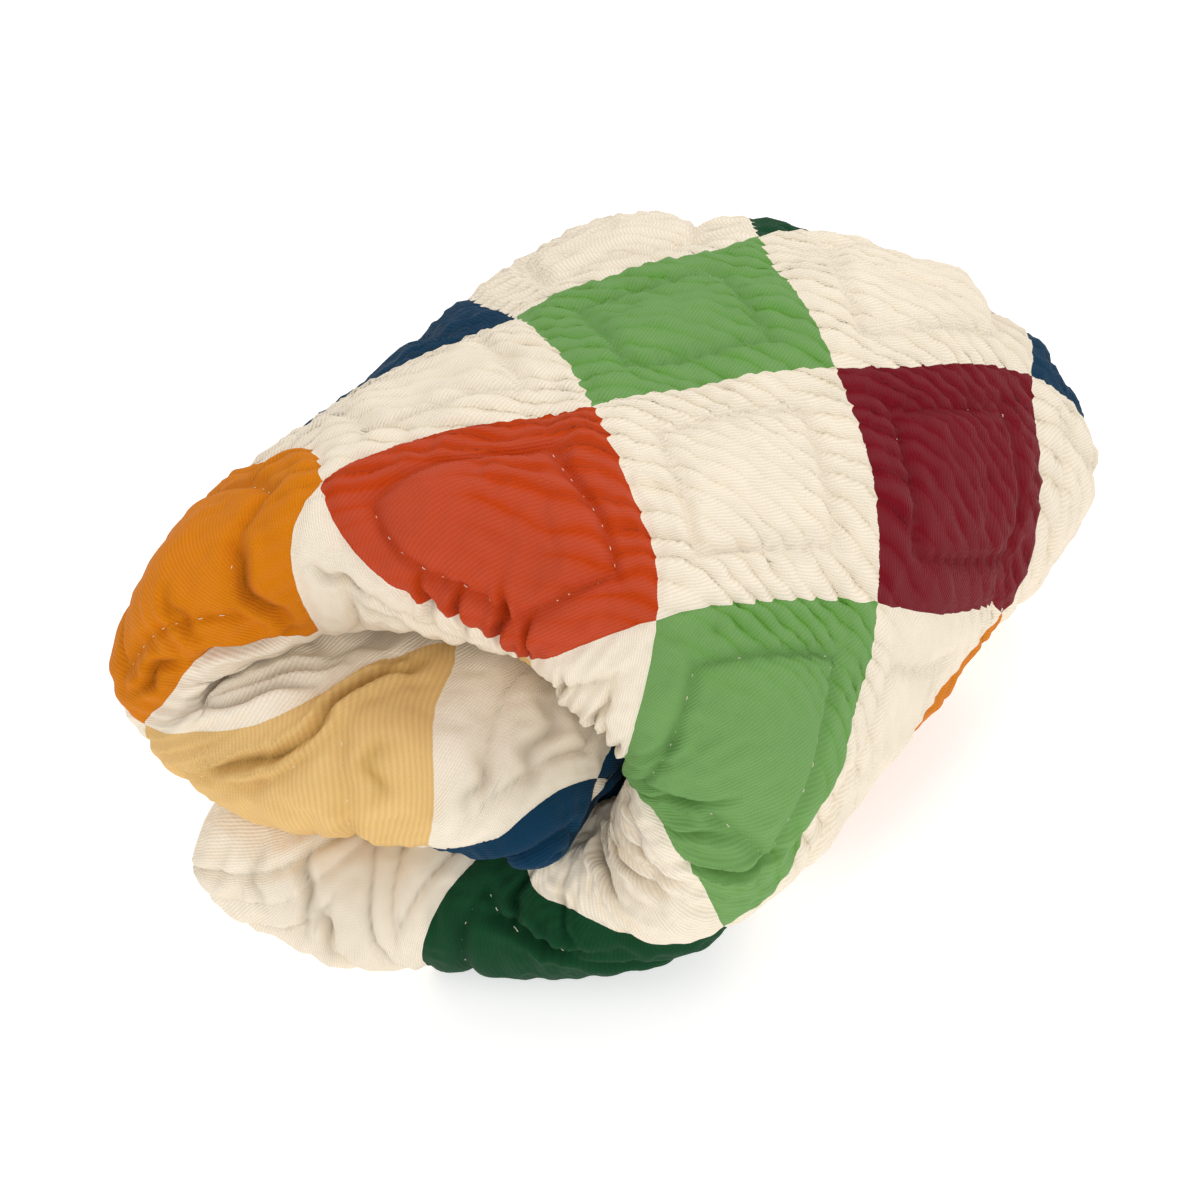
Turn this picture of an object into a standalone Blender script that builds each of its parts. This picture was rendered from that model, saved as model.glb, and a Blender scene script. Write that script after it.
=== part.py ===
"""Patchwork quilt, doubled over along its length and rolled up loosely, lying on its under layer.

The quilt is one filled cloth. It is doubled, so that its long fold makes the rounded near lip of
the roll, and it is then rolled from the right over the top to the left and back inside. The solid
follows that roll as a single winding: a flat section with round near and far lips, lofted from
place to place along the winding. Square patches lie on point to the roll and stand up as pillows
between their sewn seams, with a second sewn square inside each.
Metres, +Z up, the near lips towards -Y, the floor at Z = 0 under the middle of the quilt's box.
"""

import math
from typing import NamedTuple

import bmesh
import bpy
import numpy as np

# The quilted cloth
HALF_DIAGONAL = 0.0985   # half of a patch's diagonal as it lies, so a side is 0.139
LATTICE_ALONG = 0.742    # where the corner of four patches lies along the outer face
LATTICE_ACROSS = 0.044   # and how far behind the near lip's crest
INNER_SQUARE = 0.2       # the inner sewn square lies this share of a side in from the seam
SEAM_DIP = 0.0050        # depth of the seams between patches
INNER_DIP = 0.0028       # depth of the inner sewn square
SEAM_WIDTH = 0.010       # half width of a seam's trough
INNER_WIDTH = 0.009      # half width of the inner square's trough
PUFF = 0.0030            # how far a patch stands up between its seams
HIDDEN_QUILTING = 0.25   # share of the quilting left where layers press on each other

# The doubled layer
LIP_DEPTH = 0.049        # how far behind its crest a lip reaches full thickness
LIP_ARC = 0.070          # the same, measured along the surface
FLOOR_PRESS = 0.0060     # how far the under layer is pressed flat by the floor
INNER_FILL = 0.70        # share of a bend's inner radius that the cloth fills
SLIGHT_BEND = 1.0        # bends less sharp than this, per metre, leave all the room
BEND_SMOOTHING = 6       # passes that even out how sharply the winding bends
FOLD_GAP = 0.006         # between the inner faces of the left-hand fold
CREASE_STEP = 0.0015     # how far apart the sections' inner points stay in that fold's crease

# Steps of the mesh
LIP_STEPS = 5            # from a lip's crest to full thickness
OUTER_STEPS = 31         # across the outer face, between the lips
INNER_STEPS = 15         # across the inner face, between the lips
END_STEPS = 4            # round each end of the winding
END_TURN = math.radians(76)
END_CORNER = 0.020       # how far the crests draw in at an end of the winding

CLOTH_COLOUR = (0.90, 0.80, 0.64, 1.0)
CLOTH_ROUGHNESS = 0.9


class Stop(NamedTuple):
    """One place along the winding: its middle line near, halfway back and far, and the layer there."""

    near_x: float
    near_z: float
    mid_x: float
    mid_z: float
    far_x: float
    far_z: float
    near_thick: float
    mid_thick: float
    far_thick: float
    near_y: float
    far_y: float
    rows: int


WINDING = {
    "free end": Stop(-0.108, 0.044, -0.098, 0.047, -0.072, 0.047, 0.078, 0.082, 0.078, -0.242, 0.204, 3),
    "under left": Stop(-0.064, 0.042, -0.053, 0.045, -0.032, 0.046, 0.080, 0.084, 0.080, -0.236, 0.213, 4),
    "under middle": Stop(0.005, 0.042, 0.016, 0.045, 0.032, 0.046, 0.080, 0.084, 0.080, -0.218, 0.220, 4),
    "under right": Stop(0.064, 0.046, 0.080, 0.049, 0.100, 0.051, 0.084, 0.084, 0.078, -0.196, 0.228, 5),
    "side low": Stop(0.105, 0.084, 0.133, 0.090, 0.152, 0.090, 0.090, 0.086, 0.072, -0.176, 0.236, 8),
    "side top": Stop(0.107, 0.150, 0.138, 0.166, 0.152, 0.160, 0.092, 0.090, 0.072, -0.166, 0.238, 8),
    "over right": Stop(0.060, 0.198, 0.085, 0.216, 0.096, 0.198, 0.096, 0.092, 0.072, -0.162, 0.234, 8),
    "over middle": Stop(-0.006, 0.218, 0.004, 0.226, 0.018, 0.206, 0.094, 0.094, 0.072, -0.160, 0.226, 8),
    "over left": Stop(-0.086, 0.214, -0.077, 0.217, -0.047, 0.198, 0.088, 0.090, 0.072, -0.174, 0.218, 8),
    "left top": Stop(-0.149, 0.184, -0.126, 0.190, -0.088, 0.178, 0.084, 0.082, 0.068, -0.218, 0.210, 6),
    "left low": Stop(-0.154, 0.144, -0.131, 0.147, -0.090, 0.141, 0.080, 0.074, 0.062, -0.236, 0.206, 6),
    "middle left": Stop(-0.096, 0.123, -0.077, 0.126, -0.043, 0.122, 0.078, 0.070, 0.060, -0.240, 0.206, 6),
    "middle": Stop(-0.027, 0.125, -0.011, 0.130, 0.005, 0.126, 0.080, 0.076, 0.064, -0.229, 0.212, 5),
    "inner end": Stop(0.030, 0.114, 0.040, 0.125, 0.052, 0.124, 0.054, 0.064, 0.058, -0.213, 0.210, 0),
}
LINES = slice(0, 6)      # a stop's measures: its middle line
THICK = slice(6, 9)      # its thickness near, halfway and far
SPAN = slice(9, 11)      # where its near and far crests lie


class Pull(NamedTuple):
    """A place where the rolling has pulled the patchwork off its even lattice."""

    along: float
    across: float
    reach: float
    shift_along: float
    shift_across: float


PULLS = {
    "gathered lip": Pull(0.755, -0.030, 0.075, -0.075, 0.030),
    "under lip": Pull(0.150, -0.010, 0.110, -0.050, 0.000),
}


def smooth_rows(points: np.ndarray, place: np.ndarray) -> np.ndarray:
    """Read a smooth curve through the rows of points at the given places, 0 being the first row."""
    last = len(points) - 1
    start = np.minimum(place.astype(int), last - 1)
    share = (place - start)[:, None]
    here = points[start]
    after = points[start + 1]
    before = np.where((start > 0)[:, None], points[start - 1], 2 * here - after)
    beyond = np.where((start < last - 1)[:, None], points[np.minimum(start + 2, last)], 2 * after - here)
    return 0.5 * (
        2 * here
        + (after - before) * share
        + (2 * before - 5 * here + 4 * after - beyond) * share**2
        + (3 * here - before - 3 * after + beyond) * share**3
    )


def row_of(name: str) -> int:
    """Row of the winding at which a stop lies."""
    before = list(WINDING).index(name)
    return END_STEPS + sum(stop.rows for stop in list(WINDING.values())[:before])


def rounded_end(last: np.ndarray, before: np.ndarray) -> list[np.ndarray]:
    """Rows that close an end of the winding in a half round, each thinner and further out."""
    heading = (last[LINES] - before[LINES]).reshape(3, 2)
    heading /= np.linalg.norm(heading, axis=1, keepdims=True)
    rows = []
    for step in range(1, END_STEPS + 1):
        turn = step / END_STEPS * END_TURN
        row = last.copy()
        row[LINES] += (heading * last[THICK, None] / 2 * math.sin(turn)).ravel()
        row[THICK] *= math.cos(turn)
        row[SPAN] += np.array([1.0, -1.0]) * END_CORNER * (1 - math.cos(turn))
        rows.append(row)
    return rows


def winding_rows() -> np.ndarray:
    """Lay the winding out in rows of a stop's measures, with both of its ends rounded off."""
    stops = list(WINDING.values())
    place = [index + step / stop.rows for index, stop in enumerate(stops[:-1]) for step in range(stop.rows)]
    rows = smooth_rows(np.array([stop[:-1] for stop in stops]), np.array(place + [len(stops) - 1.0]))
    start = rounded_end(rows[0], rows[1])
    finish = rounded_end(rows[-1], rows[-2])
    return np.array(start[::-1] + list(rows) + finish)


def section_places() -> tuple[np.ndarray, np.ndarray, np.ndarray]:
    """Places round one section: its side (1 outer, -1 inner), its turn round the lips, its share across."""
    places = []
    for face, steps in ((1, OUTER_STEPS), (-1, INNER_STEPS)):
        lip = [step / LIP_STEPS * math.pi / 2 for step in range(LIP_STEPS)]
        near = [(face, turn, 0.0) for turn in lip]
        flat = [(face, math.pi / 2, step / steps) for step in range(steps)]
        far = [(face, math.pi / 2 + turn, 1.0) for turn in lip]
        run = near + flat + far
        places += run + [(face, math.pi, 1.0)] if face > 0 else run[:0:-1]
    side, turn, across = (np.array(column) for column in zip(*places))
    return side, turn, across


def across_layer(near: np.ndarray, mid: np.ndarray, far: np.ndarray, share: np.ndarray) -> np.ndarray:
    """Read a smooth curve through the near, middle and far measures of each row."""
    rest = 1 - share
    return near * rest * (rest - share) + mid * 4 * share * rest + far * share * (share - rest)


def inner_room(along: np.ndarray, middle: np.ndarray) -> np.ndarray:
    """Room on the inner side of a bend, which the cloth there can fill without folding over."""
    heading = np.unwrap(np.arctan2(along[..., 1], along[..., 0]), axis=0)
    length = np.linalg.norm(np.gradient(middle, axis=0), axis=2)
    bend = np.maximum(np.gradient(heading, axis=0) / length, SLIGHT_BEND)
    for _ in range(BEND_SMOOTHING):
        bend[1:-1] = (bend[:-2] + 2 * bend[1:-1] + bend[2:]) / 4
    return INNER_FILL / bend


def part_fold(x: np.ndarray, z: np.ndarray, z_line: np.ndarray, side: np.ndarray) -> None:
    """Keep the two inner faces of the left-hand fold a little apart, above and below its crease."""
    top = row_of("over right")
    crease = (row_of("left top") + row_of("left low")) // 2
    inner = side < 0
    level = z_line[crease]
    deepest = x[crease]
    for row in range(top, len(x)):
        away = abs(row - crease)
        bound = level + math.copysign(FOLD_GAP / 2, crease - row)
        limit = np.maximum if row < crease else np.minimum
        z[row] = np.where(inner & (away > 0), limit(z[row], bound), z[row])
        x[row] = np.where(inner, np.maximum(x[row], deepest + away * CREASE_STEP), x[row])


def base_surface(rows: np.ndarray) -> tuple[np.ndarray, np.ndarray]:
    """Place every point of the smooth winding, and give how far each lies behind the near crest."""
    side, turn, across = section_places()
    columns = dict(zip(Stop._fields, np.hsplit(rows, rows.shape[1])))
    near_y, far_y = columns["near_y"], columns["far_y"]
    flat = far_y - near_y - 2 * LIP_DEPTH
    y = near_y + across * flat + LIP_DEPTH * (1 - np.cos(turn))
    share = (y - near_y) / (far_y - near_y)
    behind = side * (turn / (math.pi / 2) * LIP_ARC + across * flat)
    x_line, z_line, thick = (
        across_layer(columns[f"near_{measure}"], columns[f"mid_{measure}"], columns[f"far_{measure}"], share)
        for measure in ("x", "z", "thick")
    )
    middle = np.stack([x_line, z_line], axis=-1)
    along = np.gradient(middle, axis=0)
    along /= np.linalg.norm(along, axis=2, keepdims=True)
    half = np.sin(turn) * thick / 2
    half = np.where(side < 0, np.minimum(half, inner_room(along, middle)), half) * side
    x = x_line + along[..., 1] * half
    z = z_line - along[..., 0] * half
    part_fold(x, z, z_line, side)
    return np.stack([x, y, z], axis=-1), behind


def seam_distance(along: np.ndarray, behind: np.ndarray) -> tuple[np.ndarray, np.ndarray]:
    """Distance from each point to the nearest seam, in shares of a patch's side, along both sides."""
    pulled_along = along.copy()
    pulled_behind = behind.copy()
    for pull in PULLS.values():
        reach = ((along - pull.along) ** 2 + (behind - pull.across) ** 2) / pull.reach**2
        pulled_along -= pull.shift_along * np.exp(-reach)
        pulled_behind -= pull.shift_across * np.exp(-reach)
    total = (LATTICE_ALONG - pulled_along) / HALF_DIAGONAL
    difference = (pulled_behind - LATTICE_ACROSS) / HALF_DIAGONAL
    first = (total + difference) / 2
    second = (total - difference) / 2
    return np.abs(first - np.round(first)), np.abs(second - np.round(second))


def quilting(along: np.ndarray, behind: np.ndarray) -> np.ndarray:
    """Height of the quilting: pillows between the seams, with an inner sewn square in each."""
    first, second = seam_distance(along, behind)
    side = HALF_DIAGONAL * math.sqrt(2)
    seam = np.minimum(first, second)
    height = PUFF * np.sin(math.pi * first) * np.sin(math.pi * second)
    height -= SEAM_DIP * np.exp(-((seam * side / SEAM_WIDTH) ** 2))
    return height - INNER_DIP * np.exp(-(((seam - INNER_SQUARE) * side / INNER_WIDTH) ** 2))


def surface_normals(points: np.ndarray) -> np.ndarray:
    """Outward normals of a sheet of points that closes on itself along its second axis."""
    down_rows = np.gradient(points, axis=0)
    round_section = np.roll(points, -1, axis=1) - np.roll(points, 1, axis=1)
    normals = np.cross(round_section, down_rows)
    return normals / np.linalg.norm(normals, axis=2, keepdims=True)


def outer_length(points: np.ndarray) -> np.ndarray:
    """Distance of each row from the free end's stop, along the outer face halfway back."""
    halfway = LIP_STEPS + OUTER_STEPS // 2
    steps = np.linalg.norm(np.diff(points[:, halfway], axis=0), axis=1)
    length = np.concatenate([[0.0], np.cumsum(steps)])
    return length - length[row_of("free end")]


def quilt_points() -> np.ndarray:
    """All points of the quilt: the winding, its quilting, and the side that the floor presses flat."""
    points, behind = base_surface(winding_rows())
    along = np.broadcast_to(outer_length(points)[:, None], behind.shape)
    side, turn, _ = section_places()
    flat = turn == math.pi / 2
    share = np.where((side < 0) & flat, HIDDEN_QUILTING, np.ones_like(behind))
    for hidden in (slice(0, row_of("under right")), slice(row_of("middle left"), None)):
        share[hidden] = np.where(flat, HIDDEN_QUILTING, share[hidden])
    fold = slice(row_of("over left"), row_of("middle left") + 1)
    share[fold] = np.where(side < 0, 0.0, share[fold])
    points = points + surface_normals(points) * (quilting(along, behind) * share)[..., None]
    points[..., 2] = np.maximum(points[..., 2] - FLOOR_PRESS, 0.0)
    points[..., :2] -= (points[..., :2].min(axis=(0, 1)) + points[..., :2].max(axis=(0, 1))) / 2
    return points


def close_winding(points: np.ndarray) -> bpy.types.Mesh:
    """Loft the sections into one closed skin."""
    form = bmesh.new()
    rings = [[form.verts.new(point) for point in section] for section in points]
    for ring, following in zip(rings, rings[1:]):
        for index, corner in enumerate(ring):
            side = (index + 1) % len(ring)
            form.faces.new((corner, following[index], following[side], ring[side]))
    for end in (rings[0], rings[-1]):
        form.faces.new(end)
    bmesh.ops.triangulate(form, faces=form.faces)
    bmesh.ops.recalc_face_normals(form, faces=form.faces)
    mesh = bpy.data.meshes.new("quilt")
    form.to_mesh(mesh)
    form.free()
    mesh.shade_smooth()
    return mesh


def cloth_finish() -> bpy.types.Material:
    """Soft cotton jersey, matt, in the cream of the plain patches."""
    material = bpy.data.materials.new("cotton_jersey")
    material.use_nodes = True
    shader = material.node_tree.nodes["Principled BSDF"]
    shader.inputs["Base Color"].default_value = CLOTH_COLOUR
    shader.inputs["Roughness"].default_value = CLOTH_ROUGHNESS
    shader.inputs["Metallic"].default_value = 0.0
    return material


def main() -> None:
    """Build the rolled quilt in an empty scene."""
    for item in list(bpy.data.objects):
        bpy.data.objects.remove(item, do_unlink=True)
    collection = bpy.data.collections.new("rolled_quilt")
    bpy.context.scene.collection.children.link(collection)
    quilt = bpy.data.objects.new("quilt", close_winding(quilt_points()))
    quilt.data.materials.append(cloth_finish())
    collection.objects.link(quilt)


main()
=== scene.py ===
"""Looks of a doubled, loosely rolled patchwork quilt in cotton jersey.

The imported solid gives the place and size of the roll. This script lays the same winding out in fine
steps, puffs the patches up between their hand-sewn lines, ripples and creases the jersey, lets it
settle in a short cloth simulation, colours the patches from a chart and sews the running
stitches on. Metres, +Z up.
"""

import logging
import math
from dataclasses import dataclass, field, replace
from enum import Enum
from functools import partial
from typing import Iterator, NamedTuple, Sequence

import bpy
import numpy as np
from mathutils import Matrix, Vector


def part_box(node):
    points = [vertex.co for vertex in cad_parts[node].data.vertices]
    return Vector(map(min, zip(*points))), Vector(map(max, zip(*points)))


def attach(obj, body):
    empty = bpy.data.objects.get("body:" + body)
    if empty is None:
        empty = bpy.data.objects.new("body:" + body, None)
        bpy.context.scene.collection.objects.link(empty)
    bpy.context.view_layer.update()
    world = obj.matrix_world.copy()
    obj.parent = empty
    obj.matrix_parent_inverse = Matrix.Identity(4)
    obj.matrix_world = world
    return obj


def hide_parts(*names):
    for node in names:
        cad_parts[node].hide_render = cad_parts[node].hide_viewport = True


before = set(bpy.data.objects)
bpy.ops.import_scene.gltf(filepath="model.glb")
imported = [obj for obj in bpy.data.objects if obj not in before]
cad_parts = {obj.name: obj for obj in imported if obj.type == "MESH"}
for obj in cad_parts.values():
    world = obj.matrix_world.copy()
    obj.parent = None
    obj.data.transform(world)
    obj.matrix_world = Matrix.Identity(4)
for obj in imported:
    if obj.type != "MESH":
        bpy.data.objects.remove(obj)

LOG = logging.getLogger("quilt_scene")
NODE = "quilt"
MILLIMETRE = 0.001
MATH = "ShaderNodeMath"


class Jersey(Enum):
    """The dyed cotton jerseys of the patches, as sRGB hex colours, and a darker copy of the green that is
    painted shade.
    """

    CREAM = "#F4E7D2"
    GREEN = "#729E5A"
    RUST = "#C04828"
    BURGUNDY = "#761D25"
    MUSTARD = "#D67C10"
    TAN = "#E2BA79"
    DARK_GREEN = "#0E4224"
    BLUE = "#04344F"
    # a darker copy of the green: painted shade on a green patch deep in the fold
    SHADED_GREEN = "#3C5E2A"


def linear(colour: str) -> tuple[float, float, float, float]:
    """Turn an sRGB hex colour into a linear one.

    Args:
        colour: The colour as "#RRGGBB".

    Returns:
        Red, green, blue and alpha for a shader socket.
    """
    parts = [int(colour[place:place + 2], 16) / 255 for place in (1, 3, 5)]
    red, green, blue = (p / 12.92 if p <= 0.04045 else ((p + 0.055) / 1.055) ** 2.4 for p in parts)
    return red, green, blue, 1.0


class Stop(NamedTuple):
    """One place along the winding: its middle line near, halfway back and far, and the layer there."""

    near_x: float
    near_z: float
    mid_x: float
    mid_z: float
    far_x: float
    far_z: float
    near_thick: float
    mid_thick: float
    far_thick: float
    near_y: float
    far_y: float
    rows: int


WINDING = {
    "free end": Stop(-0.108, 0.044, -0.098, 0.047, -0.072, 0.047, 0.078, 0.082, 0.078, -0.242, 0.204, 3),
    "under left": Stop(-0.064, 0.042, -0.053, 0.045, -0.032, 0.046, 0.080, 0.084, 0.080, -0.236, 0.213, 4),
    "under middle": Stop(0.005, 0.042, 0.016, 0.045, 0.032, 0.046, 0.080, 0.084, 0.080, -0.218, 0.220, 4),
    "under right": Stop(0.064, 0.046, 0.080, 0.049, 0.100, 0.051, 0.084, 0.084, 0.078, -0.196, 0.228, 5),
    "side low": Stop(0.105, 0.084, 0.133, 0.090, 0.152, 0.090, 0.090, 0.086, 0.072, -0.176, 0.236, 8),
    "side top": Stop(0.107, 0.150, 0.138, 0.166, 0.152, 0.160, 0.092, 0.090, 0.072, -0.166, 0.238, 8),
    "over right": Stop(0.060, 0.198, 0.085, 0.216, 0.096, 0.198, 0.096, 0.092, 0.072, -0.162, 0.234, 8),
    "over middle": Stop(-0.006, 0.218, 0.004, 0.226, 0.018, 0.206, 0.094, 0.094, 0.072, -0.160, 0.226, 8),
    "over left": Stop(-0.086, 0.214, -0.077, 0.217, -0.047, 0.198, 0.088, 0.090, 0.072, -0.174, 0.218, 8),
    "left top": Stop(-0.149, 0.184, -0.126, 0.190, -0.088, 0.178, 0.084, 0.082, 0.068, -0.218, 0.210, 6),
    "left low": Stop(-0.154, 0.144, -0.131, 0.147, -0.090, 0.141, 0.080, 0.074, 0.062, -0.236, 0.206, 6),
    "middle left": Stop(-0.096, 0.123, -0.077, 0.126, -0.043, 0.122, 0.078, 0.070, 0.060, -0.240, 0.206, 6),
    "middle": Stop(-0.027, 0.125, -0.011, 0.130, 0.005, 0.126, 0.080, 0.076, 0.064, -0.229, 0.212, 5),
    "inner end": Stop(0.030, 0.114, 0.040, 0.125, 0.052, 0.124, 0.054, 0.064, 0.058, -0.213, 0.210, 0),
}
# Behind the lips a face spans so many of the fine rows.
ROW_STRIDE = 3
# Which of a stop's measures are its middle line, its thicknesses, and its near and far ends.
LINES = slice(0, 6)
THICK = slice(6, 9)
SPAN = slice(9, 11)

# Where the corner of four patches lies in the roll, by its place in the patchwork: how far along the
# outer face from the free end, and how far behind the near crest (outer face +, inner face -).
CORNERS = {
    (0, 0): (0.728, 0.058),
    (1, 0): (0.624, 0.140),
    (2, 0): (0.534, 0.245),
    (3, 0): (0.441, 0.368),
    (1, 1): (0.520, 0.045),
    (2, 1): (0.432, 0.152),
    (3, 1): (0.327, 0.291),
    (3, 1.27): (0.320, 0.240),
    (1, -1): (0.717, 0.231),
    (2, -1): (0.634, 0.346),
    (2.2, -1): (0.616, 0.384),
    (1.5, -2): (0.785, 0.425),
    (3, -0.5): (0.462, 0.418),
    (0, 0.2): (0.705, 0.025),
    (0, 0.5): (0.664, -0.001),
    (-1, 0): (0.742, -0.036),
    (0, 1): (0.590, -0.025),
    (1, 2): (0.420, -0.055),
    (2, 2): (0.275, 0.050),
    (2, 3): (0.135, -0.075),
    (3, 3): (0.100, 0.045),
    (2.5, 3): (0.111, -0.022),
    (3, 4): (0.064, -0.060),
    (-1, -1): (0.900, 0.010),
    (-1.5, -1): (0.966, -0.032),
    (-1.75, -1): (1.010, -0.070),
    (-2, -1): (1.057, -0.129),
    (-2, -2): (1.085, 0.030),
    (-2, -1.3): (1.067, -0.076),
    (-2, -1.7): (1.086, -0.014),
    (-2.6, -2): (1.131, -0.049),
    (-3, -2): (1.155, -0.073),
}

# Which jersey each coloured patch is cut from, by its place in the patchwork. All others are cream.
PATCHES = {
    (0, 0): Jersey.RUST,
    (1, -1): Jersey.GREEN,
    (1, 1): Jersey.GREEN,
    (2, 0): Jersey.BURGUNDY,
    (-1, -1): Jersey.MUSTARD,
    (-2, -2): Jersey.TAN,
    (2, 2): Jersey.DARK_GREEN,
    (0, -2): Jersey.BLUE,
    (3, -1): Jersey.BLUE,
    (3, 1): Jersey.MUSTARD,
    (-3, -3): Jersey.BLUE,
    # a green patch deep in the fold, given the darker copy of the green as painted shade
    (-3, -1): Jersey.SHADED_GREEN,
    (2, -2): Jersey.DARK_GREEN,
    (3, 3): Jersey.CREAM,
    (2, 4): Jersey.CREAM,
    (1, 3): Jersey.BLUE,
    (-2, 0): Jersey.CREAM,
    (4, 0): Jersey.TAN,
    (4, 2): Jersey.GREEN,
    (5, 1): Jersey.BLUE,
}
OTHER_PATCHES = (Jersey.MUSTARD, Jersey.BLUE, Jersey.RUST, Jersey.GREEN, Jersey.TAN, Jersey.BURGUNDY)


def smooth_through(points: np.ndarray, place: np.ndarray) -> np.ndarray:
    """Read a smooth curve through rows of points.

    Args:
        points: The rows, along the first axis.
        place: Where to read, 0 being the first row and 1 the next.

    Returns:
        One row for each place.
    """
    last = len(points) - 1
    start = np.clip(place.astype(int), 0, last - 1)
    wide = (slice(None),) + (None,) * (points.ndim - 1)
    share = (place - start)[wide]
    here = points[start]
    after = points[start + 1]
    before = np.where((start > 0)[wide], points[start - 1], 2 * here - after)
    beyond = np.where((start < last - 1)[wide], points[np.minimum(start + 2, last)], 2 * after - here)
    return 0.5 * (
        2 * here
        + (after - before) * share
        + (2 * before - 5 * here + 4 * after - beyond) * share**2
        + (3 * here - before - 3 * after + beyond) * share**3
    )


def spaced(start: float, end: float, step: float) -> np.ndarray:
    """Evenly spaced values from start up to but not reaching end, about a step apart."""
    count = max(1, round(abs(end - start) / step))
    return np.linspace(start, end, count, endpoint=False)


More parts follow.
